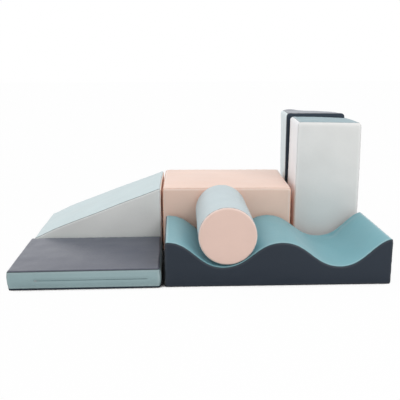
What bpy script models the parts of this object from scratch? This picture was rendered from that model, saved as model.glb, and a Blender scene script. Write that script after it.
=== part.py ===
"""Soft play foam climber: seven loose foam modules in sewn vinyl covers.

A low landing mat, a wedge ramp, a square step block, a two-trough
wave with a roller lying in its first trough, and two tall square pillars
standing side by side. Each module is a cut foam core inside a cover of flat
panels sewn edge to edge, closed with a zip whose slider has no pull tab.

Metres, +Z up. The floor is z = 0, the origin is at the middle of the whole
set's footprint, and the front, where the mat and the wave lie, faces -Y.
"""
import math

import bpy
import bmesh

# ---------------------------------------------------------------- dimensions
SKIN = 0.0012            # vinyl with its knitted backing
GAP = 0.0003             # clearance between neighbouring pieces
TAPE = 0.0005            # zip tape
CORE_IN = SKIN + GAP + TAPE + GAP   # foam surface below the cover's surface
EDGE_R = 0.013           # rounding of a module's long edges
RIM_R = 0.012            # rounding where a side panel meets the wrapping panels
ARC_STEPS = 2            # facets in half of a corner

SET_X, SET_Y = -0.1970, -0.7333     # moves the wave's corner to its place

MAT_L, MAT_D, MAT_H = 0.800, 0.604, 0.105
MAT_AT, MAT_TURN = (-0.827, -0.018), 1.10
MAT_BULGE = 0.006        # the band stands out round the mat's middle height
MAT_ZIP_BAND = 0.024     # height of the band's upright middle, where its zip lies

WEDGE_L, WEDGE_D, WEDGE_H, WEDGE_TOE = 0.783, 0.604, 0.405, 0.110
WEDGE_AT, WEDGE_TURN = (-0.039, 0.630), 0.79

BLOCK_L, BLOCK_D, BLOCK_H = 0.796, 0.620, 0.403
BLOCK_AT, BLOCK_TURN = (-0.029, 0.632), -1.46

WAVE_L, WAVE_D = 1.207, 0.595
WAVE_AT = (-0.002, 0.0)
# crests and troughs of the wave: distance from its left end, height
WAVE_TURNS = ((0.010, 0.2450), (0.309, 0.104), (0.619, 0.236), (0.934, 0.101), (1.2415, 0.2555))
WAVE_FLAT = 0.155        # how much flatter than a cosine the crests and troughs are
WAVE_STEPS = 36

ROLLER_R, ROLLER_L = 0.1555, 0.600
ROLLER_AT = (0.331, 0.010)
ROLLER_Z = 0.2695        # axis height, where the roller lies against the trough's right wall
ROLLER_TURN = 0.0
ROLLER_SIDES = 36

PILLAR_W, PILLAR_D, PILLAR_H = 0.397, 0.401, 0.797
LIGHT_AT, LIGHT_TURN = (0.801, 0.666), -3.43
DARK_H = 0.804
DARK_AT, DARK_TURN = (0.818, 1.091), -3.60
DARK_LEAN = -0.013       # the dark pillar's top stands over to the left

ZIP_SLIT = 0.0070        # opening between the two tapes
ZIP_HEIGHT = 0.040       # centre line above the floor on the block-shaped modules
SLIDER_L, SLIDER_W, SLIDER_T = 0.0125, 0.0090, 0.0016


# ---------------------------------------------------------------- scene start
for old in list(bpy.data.objects):
    bpy.data.objects.remove(old, do_unlink=True)

COLOURS = {
    "mint": (0.66, 0.77, 0.77), "aqua": (0.24, 0.42, 0.43), "peach": (0.80, 0.58, 0.47),
    "grey": (0.17, 0.17, 0.19), "navy": (0.035, 0.045, 0.065), "white": (0.66, 0.67, 0.66),
    "cream": (0.80, 0.74, 0.68), "foam": (0.78, 0.80, 0.74), "zip": (0.20, 0.21, 0.22),
    "slider": (0.32, 0.33, 0.34),
}


def material(name, colour):
    m = bpy.data.materials.new(name)
    m.use_nodes = True
    shader = m.node_tree.nodes["Principled BSDF"]
    shader.inputs["Base Color"].default_value = (*COLOURS[colour], 1.0)
    shader.inputs["Roughness"].default_value = {"foam": 0.95, "zip": 0.6, "slider": 0.35}.get(colour, 0.5)
    shader.inputs["Metallic"].default_value = 0.8 if colour == "slider" else 0.0
    m.diffuse_color = (*COLOURS[colour], 1.0)
    return m


def empty(name, xyz, turn=0.0, parent=None):
    e = bpy.data.objects.new(name, None)
    e.location = xyz
    e.rotation_euler = (0.0, 0.0, math.radians(turn))
    e.parent = parent
    bpy.context.scene.collection.objects.link(e)
    return e


def add_piece(name, verts, faces, colour, parent, origin=(0.0, 0.0, 0.0)):
    """One closed body from its points, standing on its parent empty."""
    mesh = bpy.data.meshes.new(name)
    mesh.from_pydata([tuple(c - o for c, o in zip(v, origin)) for v in verts], [], faces)
    bm = bmesh.new()
    bm.from_mesh(mesh)
    bmesh.ops.recalc_face_normals(bm, faces=bm.faces)
    bm.to_mesh(mesh)
    bm.free()
    mesh.shade_smooth()
    mesh.set_sharp_from_angle(angle=math.radians(35))
    mesh.materials.append(material(name, colour))
    ob = bpy.data.objects.new(name, mesh)
    ob.location = origin
    ob.parent = parent
    bpy.context.scene.collection.objects.link(ob)
    return ob


# ---------------------------------------------------------------- profiles
# A profile is a closed loop of samples (p, q, normal_p, normal_q, mark) that
# runs counter-clockwise. mark is k at the middle of corner k, where a seam is.

def corner_arc(cp, cq, radius, start, end, k):
    """Samples on a corner's arc, from one edge's normal angle to the next one's."""
    n = 2 * ARC_STEPS
    out = []
    for i in range(n + 1):
        a = start + (end - start) * i / n
        out.append((cp + radius * math.cos(a), cq + radius * math.sin(a),
                    math.cos(a), math.sin(a), k if i == ARC_STEPS else None))
    return out


def polygon_profile(corners, radius=EDGE_R):
    """A convex polygon with rounded corners."""
    out = []
    count = len(corners)
    for k in range(count):
        (ap, aq), (bp, bq), (cp, cq) = corners[k - 1], corners[k], corners[(k + 1) % count]
        d1 = math.atan2(bq - aq, bp - ap) - math.pi / 2
        d2 = math.atan2(cq - bq, cp - bp) - math.pi / 2
        while d2 < d1:
            d2 += 2 * math.pi
        n1, n2 = (math.cos(d1), math.sin(d1)), (math.cos(d2), math.sin(d2))
        s = radius / (1 + n1[0] * n2[0] + n1[1] * n2[1])
        out += corner_arc(bp - s * (n1[0] + n2[0]), bq - s * (n1[1] + n2[1]), radius, d1, d2, k)
    return out


def wave_height(x):
    if x <= WAVE_TURNS[0][0]:
        return WAVE_TURNS[0][1]
    for (xa, za), (xb, zb) in zip(WAVE_TURNS, WAVE_TURNS[1:]):
        if x <= xb:
            t = (x - xa) / (xb - xa)
            t -= WAVE_FLAT * math.sin(2 * math.pi * t) / (2 * math.pi)
            return za + (zb - za) * (1 - math.cos(math.pi * t)) / 2
    return WAVE_TURNS[-1][1]


def wave_normal(x):
    h = 1e-5
    slope = (wave_height(x + h) - wave_height(x - h)) / (2 * h)
    s = math.hypot(1.0, slope)
    return -slope / s, 1.0 / s


def wave_profile():
    """Flat base and ends, with the waved top between rounded corners."""
    def meets_end(end):
        x = end
        for _ in range(30):
            n = wave_normal(x)
            x = (EDGE_R if end == 0.0 else WAVE_L - EDGE_R) + n[0] * EDGE_R
        return x
    x_left, x_right = meets_end(0.0), meets_end(WAVE_L)
    out = corner_arc(EDGE_R, EDGE_R, EDGE_R, math.pi, 1.5 * math.pi, 0)
    out += corner_arc(WAVE_L - EDGE_R, EDGE_R, EDGE_R, 1.5 * math.pi, 2 * math.pi, 1)
    for end, x, k in ((1, x_right, 2), (0, x_left, 3)):
        n = wave_normal(x)
        a = math.atan2(n[1], n[0])
        cp, cq = x - n[0] * EDGE_R, wave_height(x) - n[1] * EDGE_R
        if end:
            out += corner_arc(cp, cq, EDGE_R, 0.0, a, k)
            for i in range(1, WAVE_STEPS):
                t = x_right + (x_left - x_right) * i / WAVE_STEPS
                tn = wave_normal(t)
                out.append((t, wave_height(t), tn[0], tn[1], None))
        else:
            out += corner_arc(cp, cq, EDGE_R, a, math.pi, k)
    return out


def circle_profile(radius, sides):
    out = []
    for i in range(sides):
        a = -math.pi / 2 + 2 * math.pi * i / sides
        out.append((radius * math.cos(a), radius * math.sin(a), math.cos(a), math.sin(a), 0 if i == 0 else None))
    return out


def seam_side(sample, towards):
    """A sample half a gap along the loop from a seam."""
    p, q, a, b, _ = sample
    d = 0.5 * GAP * towards
    turn = d / EDGE_R
    na, nb = a * math.cos(turn) - b * math.sin(turn), a * math.sin(turn) + b * math.cos(turn)
    return (p - b * d, q + a * d, na, nb, None)


def run(profile, start, end):
    """The samples of one wrapping panel, from seam start to seam end."""
    marks = {s[4]: i for i, s in enumerate(profile) if s[4] is not None}
    i, j = marks[start], marks[end]
    if j <= i:
        j += len(profile)
    inner = [profile[t % len(profile)] for t in range(i + 1, j)]
    return [seam_side(profile[i], 1)] + inner + [seam_side(profile[j % len(profile)], -1)]


# ---------------------------------------------------------------- solids
HALF = math.pi / 4
TRIM = 0.5 * GAP / RIM_R


def place(axes, lean=0.0, height=1.0):
    """Local profile coordinates to the module's own x, y, z."""
    def to_xyz(p, q, e):
        x, y, z = (p, q, e) if axes == "XY" else (p, e, q)
        return (x + lean * z / height, y, z)
    return to_xyz


def bulge_ring(samples, amount, depth, at, to_xyz):
    """Points round the samples that stand out by amount, at a height of the wrap."""
    d = amount - depth
    return [to_xyz(p + a * d, q + b * d, at) for p, q, a, b, _ in samples]


def ring(samples, angle, far, length, depth, to_xyz):
    """Points round the samples where the rim has turned by angle from the wrap."""
    out = []
    r = RIM_R - depth
    for p, q, a, b, _ in samples:
        cp, cq = p - a * RIM_R, q - b * RIM_R
        e = RIM_R - r * math.sin(angle)
        out.append(to_xyz(cp + a * r * math.cos(angle), cq + b * r * math.cos(angle),
                          length - e if far else e))
    return out


def loft(rings, closed, base):
    """Quads between successive rings, whose points start at index base."""
    faces = []
    n = len(rings[0])
    for i in range(len(rings) - 1):
        for j in range(n if closed else n - 1):
            k = (j + 1) % n
            faces.append((base + i * n + j, base + i * n + k, base + (i + 1) * n + k, base + (i + 1) * n + j))
    return faces


def bulge_rows(length, bulge, band):
    """Heights and amounts of the rows between the rims of a wrap that bulges."""
    if not bulge:
        return []
    half, quarter = band / 2, (length / 2 - band / 2 + RIM_R) / 2
    return [(quarter, 0.62 * bulge), (length / 2 - half, bulge), (length / 2 + half, bulge),
            (length - quarter, 0.62 * bulge)]


def wrap_rings(samples, angles, length, depth, to_xyz, bulge=0.0, band=0.0):
    """Rings across a wrap from one rim to the other, each a list of points."""
    rings = [ring(samples, a, False, length, depth, to_xyz) for a in angles]
    rings += [bulge_ring(samples, amount, depth, at, to_xyz) for at, amount in bulge_rows(length, bulge, band)]
    return rings + [ring(samples, a, True, length, depth, to_xyz) for a in reversed(angles)]


def wrap_panel(name, samples, length, to_xyz, colour, parent, bulge=0.0, band=0.0):
    """A panel that goes round the profile, with its edges turned over both rims."""
    angles = [(HALF - TRIM) * (1 - i / ARC_STEPS) for i in range(ARC_STEPS + 1)]
    outer = wrap_rings(samples, angles, length, 0.0, to_xyz, bulge, band)
    inner = wrap_rings(samples, angles, length, SKIN, to_xyz, bulge, band)
    n, m = len(samples), len(outer)
    verts = [v for r in outer for v in r] + [v for r in inner for v in r]
    off = n * m
    faces = loft(outer, False, 0) + [tuple(reversed(f)) for f in loft(inner, False, off)]
    for j in range(n - 1):
        faces.append((j, j + 1, off + j + 1, off + j))
        t = (m - 1) * n + j
        faces.append((t + 1, t, off + t, off + t + 1))
    for i in range(m - 1):
        a, b = i * n, (i + 1) * n
        faces.append((b, a, off + a, off + b))
        a, b = a + n - 1, b + n - 1
        faces.append((a, b, off + b, off + a))
    return add_piece(name, verts, faces, colour, parent)


def side_panel(name, profile, length, far, to_xyz, colour, parent):
    """A flat panel across the profile, with its edge turned over the rim."""
    angles = [HALF + TRIM + (math.pi / 2 - HALF - TRIM) * i / ARC_STEPS for i in range(ARC_STEPS + 1)]
    outer = [ring(profile, a, far, length, 0.0, to_xyz) for a in angles]
    inner = [ring(profile, a, far, length, SKIN, to_xyz) for a in angles]
    n, m = len(profile), len(angles)
    verts = [v for r in outer for v in r] + [v for r in inner for v in r]
    off = n * m
    faces = loft(outer, True, 0) + [tuple(reversed(f)) for f in loft(inner, True, off)]
    for j in range(n):
        k = (j + 1) % n
        faces.append((j, k, off + k, off + j))
    last = (m - 1) * n
    faces.append(tuple(last + j for j in range(n)))
    faces.append(tuple(off + last + j for j in reversed(range(n))))
    return add_piece(name, verts, faces, colour, parent)


def core(name, profile, length, to_xyz, parent, bulge=0.0, band=0.0):
    """The foam, one clearance inside the cover all round."""
    angles = [math.pi / 2 * (1 - i / 2) for i in range(3)]
    rings = wrap_rings(profile, angles, length, CORE_IN, to_xyz, bulge, band)
    n = len(profile)
    verts = [v for r in rings for v in r]
    faces = loft(rings, True, 0)
    last = (len(rings) - 1) * n
    faces.append(tuple(reversed(range(n))))
    faces.append(tuple(last + j for j in range(n)))
    return add_piece(name, verts, faces, "foam", parent)


def box_points(centre, along, across, out, half_a, half_b, low, high):
    """Corners of a box on a surface, given by its three directions."""
    verts = []
    for n in (low, high):
        for sa, sb in ((-1, -1), (1, -1), (1, 1), (-1, 1)):
            verts.append(tuple(c + sa * half_a * u + sb * half_b * v + n * w
                               for c, u, v, w in zip(centre, along, across, out)))
    return verts


BOX_FACES = [(0, 1, 2, 3), (7, 6, 5, 4), (0, 4, 5, 1), (1, 5, 6, 2), (2, 6, 7, 3), (3, 7, 4, 0)]


def zip_fastener(stem, panel, parent, centre, along, across, out, length):
    """A slit in the panel, the zip chain on its tape behind it, and the slider.

    centre is the slit's middle on the panel's outer face. The slider rests at
    the start of the slit and travels along it."""
    cutter = add_piece(stem + "_slit", box_points(centre, along, across, out, length / 2, ZIP_SLIT / 2, -0.004, 0.004),
                       BOX_FACES, "zip", parent)
    cutter.hide_render = True
    cutter.display_type = "WIRE"
    cut = panel.modifiers.new("zip_slit", "BOOLEAN")
    cut.operation = "DIFFERENCE"
    cut.solver = "EXACT"
    cut.object = cutter

    half, half_b, half_t = length / 2 - GAP, ZIP_SLIT / 2 - GAP, 0.011
    back, top = -(SKIN + GAP), -0.0002
    section = ((-half_t, back - TAPE), (half_t, back - TAPE), (half_t, back), (half_b, back),
               (half_b, top), (-half_b, top), (-half_b, back), (-half_t, back))
    verts = [tuple(c + s * half * u + b * v + n * w for c, u, v, w in zip(centre, along, across, out))
             for s in (-1, 1) for b, n in section]
    faces = [tuple(reversed(range(8))), tuple(range(8, 16))]
    faces += [(i, (i + 1) % 8, 8 + (i + 1) % 8, 8 + i) for i in range(8)]
    add_piece(stem + "_zip", verts, faces, "zip", parent)

    # slider: a tapered plate with a low loop on it, just above the chain
    lift = 0.0004
    start = tuple(c - (length / 2 - SLIDER_L / 2 - 0.003) * u for c, u in zip(centre, along))

    def at(a, b, n):
        return tuple(c + a * u + b * v + n * w for c, u, v, w in zip(start, along, across, out))
    half_l, wide, narrow = SLIDER_L / 2, SLIDER_W / 2, SLIDER_W / 2 - 0.0016
    outline = ((-half_l, -narrow), (half_l - 0.004, -wide), (half_l, -wide + 0.001), (half_l, wide - 0.001),
               (half_l - 0.004, wide), (-half_l, narrow))
    verts = [at(a, b, lift) for a, b in outline] + [at(a, b, lift + SLIDER_T) for a, b in outline]
    faces = [tuple(reversed(range(6))), tuple(range(6, 12))]
    faces += [(i, (i + 1) % 6, 6 + (i + 1) % 6, 6 + i) for i in range(6)]
    slider = add_piece(stem + "_zip_slider", verts, faces, "slider", parent, origin=start)
    # side view of the loop: two feet sunk into the plate and a bar between them
    low, mid, high = lift + SLIDER_T - 0.0006, lift + SLIDER_T + 0.0010, lift + SLIDER_T + 0.0018
    side = ((-0.0042, low), (-0.0030, low), (-0.0030, mid), (0.0030, mid), (0.0030, low), (0.0042, low),
            (0.0042, mid), (0.0034, high), (-0.0034, high), (-0.0042, mid))
    verts = [at(a, b, n) for b in (-0.0013, 0.0013) for a, n in side]
    faces = [tuple(reversed(range(10))), tuple(range(10, 20))]
    faces += [(i, (i + 1) % 10, 10 + (i + 1) % 10, 10 + i) for i in range(10)]
    loop = add_piece(stem + "_loop_guide", verts, faces, "slider", parent)
    loop.hide_render = True
    loop.display_type = "WIRE"
    join = slider.modifiers.new("loop", "BOOLEAN")
    join.operation = "UNION"
    join.solver = "EXACT"
    join.object = loop


# ---------------------------------------------------------------- the modules
SET = empty("climber_set", (SET_X, SET_Y, 0.0))


def stand(name, at, turn, z=0.0):
    return empty(name, (at[0], at[1], z), turn, SET)


def rectangle(width, depth):
    return polygon_profile(((0.0, 0.0), (width, 0.0), (width, depth), (0.0, depth)))


def box_module(stem, width, depth, height, at, turn, colours, lean=0.0):
    """An upright block: four wrapping panels, a top and a base over a foam core."""
    hold = stand(stem + "_hold", at, turn)
    shape = rectangle(width, depth)
    to_xyz = place("XY", lean, height)
    core(stem + "_foam", shape, height, to_xyz, hold)
    sides = {}
    for i, side in enumerate(("front", "right", "rear", "left")):
        sides[side] = wrap_panel(stem + "_" + side + "_panel", run(shape, i, (i + 1) % 4), height, to_xyz, colours[side], hold)
    side_panel(stem + "_top_panel", shape, height, True, to_xyz, colours["top"], hold)
    side_panel(stem + "_base_panel", shape, height, False, to_xyz, colours["base"], hold)
    return hold, sides


# mat: a band round its edge between a top and a base panel
mat_hold = stand("mat_hold", MAT_AT, MAT_TURN)
shape = rectangle(MAT_L, MAT_D)
axes = place("XY")
core("mat_foam", shape, MAT_H, axes, mat_hold, MAT_BULGE, MAT_ZIP_BAND)
mat_front = wrap_panel("mat_band_front", run(shape, 0, 1), MAT_H, axes, "aqua", mat_hold, MAT_BULGE, MAT_ZIP_BAND)
wrap_panel("mat_band_back", run(shape, 1, 0), MAT_H, axes, "aqua", mat_hold, MAT_BULGE, MAT_ZIP_BAND)
side_panel("mat_top_panel", shape, MAT_H, True, axes, "grey", mat_hold)
side_panel("mat_base_panel", shape, MAT_H, False, axes, "grey", mat_hold)
zip_fastener("mat", mat_front, mat_hold, (0.437, -MAT_BULGE, MAT_H / 2), (1, 0, 0), (0, 0, 1), (0, -1, 0), 0.590)

# wedge ramp: its high end stands against the block, its toe is cut square
wedge_hold = stand("wedge_hold", WEDGE_AT, WEDGE_TURN)
shape = polygon_profile(((-WEDGE_L, 0.0), (0.0, 0.0), (0.0, WEDGE_H), (-WEDGE_L, WEDGE_TOE)))
axes = place("XZ")
core("wedge_foam", shape, WEDGE_D, axes, wedge_hold)
wrap_panel("wedge_base_panel", run(shape, 0, 1), WEDGE_D, axes, "grey", wedge_hold)
wrap_panel("wedge_end_panel", run(shape, 1, 2), WEDGE_D, axes, "cream", wedge_hold)
wrap_panel("wedge_slope_panel", run(shape, 2, 3), WEDGE_D, axes, "mint", wedge_hold)
wrap_panel("wedge_toe_panel", run(shape, 3, 0), WEDGE_D, axes, "mint", wedge_hold)
side_panel("wedge_side_front", shape, WEDGE_D, False, axes, "white", wedge_hold)
wedge_rear = side_panel("wedge_side_rear", shape, WEDGE_D, True, axes, "white", wedge_hold)
zip_fastener("wedge", wedge_rear, wedge_hold, (-0.380, WEDGE_D, ZIP_HEIGHT), (1, 0, 0), (0, 0, 1), (0, 1, 0), 0.560)

# step block, all in one colour over a dark base
block_hold, block_sides = box_module(
    "block", BLOCK_L, BLOCK_D, BLOCK_H, BLOCK_AT, BLOCK_TURN,
    {"front": "peach", "right": "peach", "rear": "peach", "left": "peach", "top": "peach", "base": "grey"})
zip_fastener("block", block_sides["rear"], block_hold, (BLOCK_L / 2, BLOCK_D, ZIP_HEIGHT), (1, 0, 0), (0, 0, 1), (0, 1, 0), 0.640)

# wave: one long waved top panel between two dark cut-out sides
wave_hold = stand("wave_hold", WAVE_AT, 0.0)
shape = wave_profile()
core("wave_foam", shape, WAVE_D, axes, wave_hold)
wrap_panel("wave_base_panel", run(shape, 0, 1), WAVE_D, axes, "grey", wave_hold)
wrap_panel("wave_end_right", run(shape, 1, 2), WAVE_D, axes, "navy", wave_hold)
wrap_panel("wave_top_panel", run(shape, 2, 3), WAVE_D, axes, "aqua", wave_hold)
wrap_panel("wave_end_left", run(shape, 3, 0), WAVE_D, axes, "navy", wave_hold)
side_panel("wave_side_front", shape, WAVE_D, False, axes, "navy", wave_hold)
wave_rear = side_panel("wave_side_rear", shape, WAVE_D, True, axes, "navy", wave_hold)
zip_fastener("wave", wave_rear, wave_hold, (WAVE_L / 2, WAVE_D, ZIP_HEIGHT), (1, 0, 0), (0, 0, 1), (0, 1, 0), 0.900)

# roller: its empty stands on the roller's own axis
roller_hold = stand("roller_hold", ROLLER_AT, ROLLER_TURN, ROLLER_Z)
shape = circle_profile(ROLLER_R, ROLLER_SIDES)
core("roller_foam", shape, ROLLER_L, axes, roller_hold)
wrap_panel("roller_wrap", run(shape, 0, 0), ROLLER_L, axes, "mint", roller_hold)
side_panel("roller_end_front", shape, ROLLER_L, False, axes, "peach", roller_hold)
roller_rear = side_panel("roller_end_rear", shape, ROLLER_L, True, axes, "peach", roller_hold)
zip_fastener("roller", roller_rear, roller_hold, (0.0, ROLLER_L, 0.0), (1, 0, 0), (0, 0, 1), (0, 1, 0), 0.230)

# the two pillars
light_hold, light_sides = box_module(
    "light_pillar", PILLAR_W, PILLAR_D, PILLAR_H, LIGHT_AT, LIGHT_TURN,
    {"front": "white", "right": "white", "rear": "white", "left": "cream", "top": "aqua", "base": "grey"})
zip_fastener("light_pillar", light_sides["right"], light_hold, (PILLAR_W, PILLAR_D / 2, ZIP_HEIGHT), (0, 1, 0), (0, 0, 1), (1, 0, 0), 0.300)

dark_hold, dark_sides = box_module(
    "dark_pillar", PILLAR_W, PILLAR_D, DARK_H, DARK_AT, DARK_TURN,
    {"front": "navy", "right": "navy", "rear": "navy", "left": "mint", "top": "grey", "base": "grey"}, lean=DARK_LEAN)
zip_fastener("dark_pillar", dark_sides["rear"], dark_hold, (PILLAR_W / 2, PILLAR_D, ZIP_HEIGHT), (1, 0, 0), (0, 0, 1), (0, 1, 0), 0.300)
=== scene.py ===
"""The looks of the soft play foam climber: sewn vinyl covers over foam, their
seams, zips and materials, with a pale floor, soft light and the camera.

Metres, +Z up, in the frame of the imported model."""
import math

import bmesh
import bpy
import numpy as np
from mathutils import Matrix, Vector


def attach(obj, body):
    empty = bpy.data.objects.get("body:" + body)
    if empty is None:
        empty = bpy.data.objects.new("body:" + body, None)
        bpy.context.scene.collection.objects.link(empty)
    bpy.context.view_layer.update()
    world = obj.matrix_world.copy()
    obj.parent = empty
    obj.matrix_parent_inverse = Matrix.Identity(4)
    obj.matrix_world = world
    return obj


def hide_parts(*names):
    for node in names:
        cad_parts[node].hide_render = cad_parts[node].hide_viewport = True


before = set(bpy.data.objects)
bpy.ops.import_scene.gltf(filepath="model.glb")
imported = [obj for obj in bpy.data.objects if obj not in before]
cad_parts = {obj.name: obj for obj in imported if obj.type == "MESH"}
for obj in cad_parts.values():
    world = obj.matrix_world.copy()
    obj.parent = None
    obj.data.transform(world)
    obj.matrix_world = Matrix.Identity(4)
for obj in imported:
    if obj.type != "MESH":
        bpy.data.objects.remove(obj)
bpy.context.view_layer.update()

# ---------------------------------------------------------------- dimensions
R = 0.0125               # rounding of every sewn edge
SKIN = 0.0012            # vinyl with its knitted backing
ROLL = 0.0019            # radius of the turned-in vinyl at a seam
SEAM_DEPTH = 0.0030      # how deep the vinyl goes in at a seam
HALF_GAP = 0.00015       # from the seam's middle to each panel
SLIT = 0.0030            # width of a zip's opening between the vinyl's two lips
SLIP = 0.0010            # thickness of the vinyl where it turns in
STEP = 0.020             # grid of the covers away from the seams
ARC = R * math.pi / 4    # from a seam on a rounded edge to the flat
ROLLER_RADIUS = 0.1555

SET_X, SET_Y = -0.1970, -0.7333
TURN = {"mat": 1.10, "wedge": 0.79, "block": -1.46, "wave": 0.0, "roller": 0.0,
        "light_pillar": -3.43, "dark_pillar": -3.60}
HOLD = {"mat": (-0.827, -0.018, 0.0), "wedge": (-0.039, 0.630, 0.0), "block": (-0.029, 0.632, 0.0),
        "wave": (-0.002, 0.0, 0.0), "roller": (0.331, 0.010, 0.2695),
        "light_pillar": (0.801, 0.666, 0.0), "dark_pillar": (0.818, 1.091, 0.0)}
WAVE_L = 1.207
WAVE_TURNS = ((0.010, 0.2450), (0.309, 0.104), (0.619, 0.236), (0.934, 0.101), (1.2415, 0.2555))
WAVE_FLAT = 0.155
# zips: middle on the cover, then the ways along, across and out, and the length
ZIPS = {
    "mat": ((0.437, -0.006, 0.0525), (1, 0, 0), (0, 0, 1), (0, -1, 0), 0.590),
    "wedge": ((-0.380, 0.604, 0.040), (1, 0, 0), (0, 0, 1), (0, 1, 0), 0.560),
    "block": ((0.398, 0.620, 0.040), (1, 0, 0), (0, 0, 1), (0, 1, 0), 0.640),
    "wave": ((0.6035, 0.595, 0.040), (1, 0, 0), (0, 0, 1), (0, 1, 0), 0.900),
    "roller": ((0.0, 0.600, 0.0), (1, 0, 0), (0, 0, 1), (0, 1, 0), 0.230),
    "light_pillar": ((0.397, 0.2005, 0.040), (0, 1, 0), (0, 0, 1), (1, 0, 0), 0.300),
    "dark_pillar": ((0.1985, 0.401, 0.040), (1, 0, 0), (0, 0, 1), (0, 1, 0), 0.300),
}


def smooth(x, low=0.0, high=1.0):
    t = np.clip((np.asarray(x, float) - low) / (high - low), 0.0, 1.0)
    return t * t * (3 - 2 * t)


# ---------------------------------------------------------------- outlines
def wave_height(x):
    x = np.asarray(x, float)
    z = np.full(x.shape, WAVE_TURNS[-1][1])
    for (xa, za), (xb, zb) in reversed(list(zip(WAVE_TURNS, WAVE_TURNS[1:]))):
        t = (x - xa) / (xb - xa)
        t = t - WAVE_FLAT * np.sin(2 * np.pi * t) / (2 * np.pi)
        z = np.where(x <= xb, za + (zb - za) * (1 - np.cos(np.pi * t)) / 2, z)
    return np.where(x <= WAVE_TURNS[0][0], WAVE_TURNS[0][1], z)


def wave_normal(x):
    h = 1e-5
    slope = (wave_height(x + h) - wave_height(x - h)) / (2 * h)
    s = np.hypot(1.0, slope)
    return np.stack([-slope / s, 1.0 / s], -1)


class Edge:
    """One side of an outline: points set in by R, their outward angles and the
    distances along the outer surface."""

    def __init__(self, inset, angle, along):
        self.inset, self.angle, self.along = np.array(inset, float), np.array(angle, float), np.array(along, float)


def polygon_edges(corners):
    corners = [np.array(c, float) for c in corners]
    count = len(corners)
    angles = []
    for k in range(count):
        d = corners[(k + 1) % count] - corners[k]
        angles.append(math.atan2(d[1], d[0]) - math.pi / 2)
    inset = []
    for k in range(count):
        n1 = np.array([math.cos(angles[k - 1]), math.sin(angles[k - 1])])
        n2 = np.array([math.cos(angles[k]), math.sin(angles[k])])
        inset.append(corners[k] - R / (1 + n1 @ n2) * (n1 + n2))
    edges = []
    for k in range(count):
        a, b = inset[k], inset[(k + 1) % count]
        edges.append(Edge([a, b], [angles[k]] * 2, [0.0, np.linalg.norm(b - a)]))
    return edges


def wave_edges():
    ends = []
    for end in (0.0, WAVE_L):
        x = end
        for _ in range(40):
            x = (R if end == 0.0 else WAVE_L - R) + wave_normal(np.array(x))[0] * R
        ends.append(float(x))
    x = np.linspace(ends[1], ends[0], 1601)
    n = wave_normal(x)
    outer = np.stack([x, wave_height(x)], -1)
    inset = outer - n * R
    along = np.concatenate([[0.0], np.cumsum(np.linalg.norm(np.diff(outer, axis=0), axis=1))])
    top = Edge(inset, np.arctan2(n[:, 1], n[:, 0]), along)
    c0, c1, c2, c3 = np.array([R, R]), np.array([WAVE_L - R, R]), inset[0], inset[-1]

    def straight(a, b, angle):
        return Edge([a, b], [angle] * 2, [0.0, float(np.linalg.norm(b - a))])
    return [straight(c0, c1, -math.pi / 2), straight(c1, c2, 0.0), top, straight(c3, c0, math.pi)]


def circle_edges(radius):
    a = np.linspace(-math.pi / 2, 1.5 * math.pi, 721)
    n = np.stack([np.cos(a), np.sin(a)], -1)
    return [Edge(n * (radius - R), a, (a + math.pi / 2) * radius)]


class Path:
    """A run of a wrapping panel across one or more edges, from seam to seam."""

    def __init__(self, edges, first, count, closed_circle=False):
        inset, angle, along = [], [], []
        total = 0.0

        def add(points, angles, s):
            nonlocal total
            inset.extend(points)
            angle.extend(angles)
            along.extend(total + np.asarray(s))
            total += float(s[-1])

        def fan(at, start, end):
            while end < start - 1e-9:
                end += 2 * math.pi
            while end > start + math.pi:
                end -= 2 * math.pi
            add([at] * 9, np.linspace(start, end, 9), np.linspace(0.0, R * (end - start), 9))
        n = len(edges)
        if closed_circle:
            e = edges[0]
            add(list(e.inset), list(e.angle), e.along)
        else:
            for i in range(count):
                e = edges[(first + i) % n]
                before, after = edges[(first + i - 1) % n], edges[(first + i + 1) % n]
                a0 = before.angle[-1]
                while a0 > e.angle[0]:
                    a0 -= 2 * math.pi
                while a0 < e.angle[0] - math.pi:
                    a0 += 2 * math.pi
                if i == 0:
                    fan(e.inset[0], (a0 + e.angle[0]) / 2, e.angle[0])
                add(list(e.inset), list(e.angle), e.along)
                a1 = after.angle[0]
                while a1 < e.angle[-1]:
                    a1 += 2 * math.pi
                while a1 > e.angle[-1] + math.pi:
                    a1 -= 2 * math.pi
                fan(e.inset[-1], e.angle[-1], (e.angle[-1] + a1) / 2 if i == count - 1 else a1)
        s = np.array(along)
        keep = np.concatenate([[True], np.diff(s) > 1e-9])
        self.s = s[keep]
        self.inset = np.array(inset)[keep]
        self.angle = np.unwrap(np.array(angle))[keep]
        self.length = self.s[-1]

    def at(self, s):
        """Inset points and outward unit normals at distances s."""
        c = np.stack([np.interp(s, self.s, self.inset[:, i]) for i in (0, 1)], -1)
        a = np.interp(s, self.s, self.angle)
        return c, np.stack([np.cos(a), np.sin(a)], -1)


def across(v, m):
    """For distances v from one side seam to the other: how far out of the inset
    line, how far along the extrusion, and the share of the normal in each."""
    near, far = v < R * m.rim[0], v > m.wide - R * m.rim[1]
    a = np.where(near, m.rim[0] - v / R, np.where(far, (v - (m.wide - R * m.rim[1])) / R, 0.0))
    e = np.where(near, R * (1 - np.sin(a)), np.where(far, m.length - R * (1 - np.sin(a)), R + v - R * m.rim[0]))
    return R * np.cos(a), e, np.cos(a), np.where(near, -np.sin(a), np.where(far, np.sin(a), 0.0))


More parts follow.
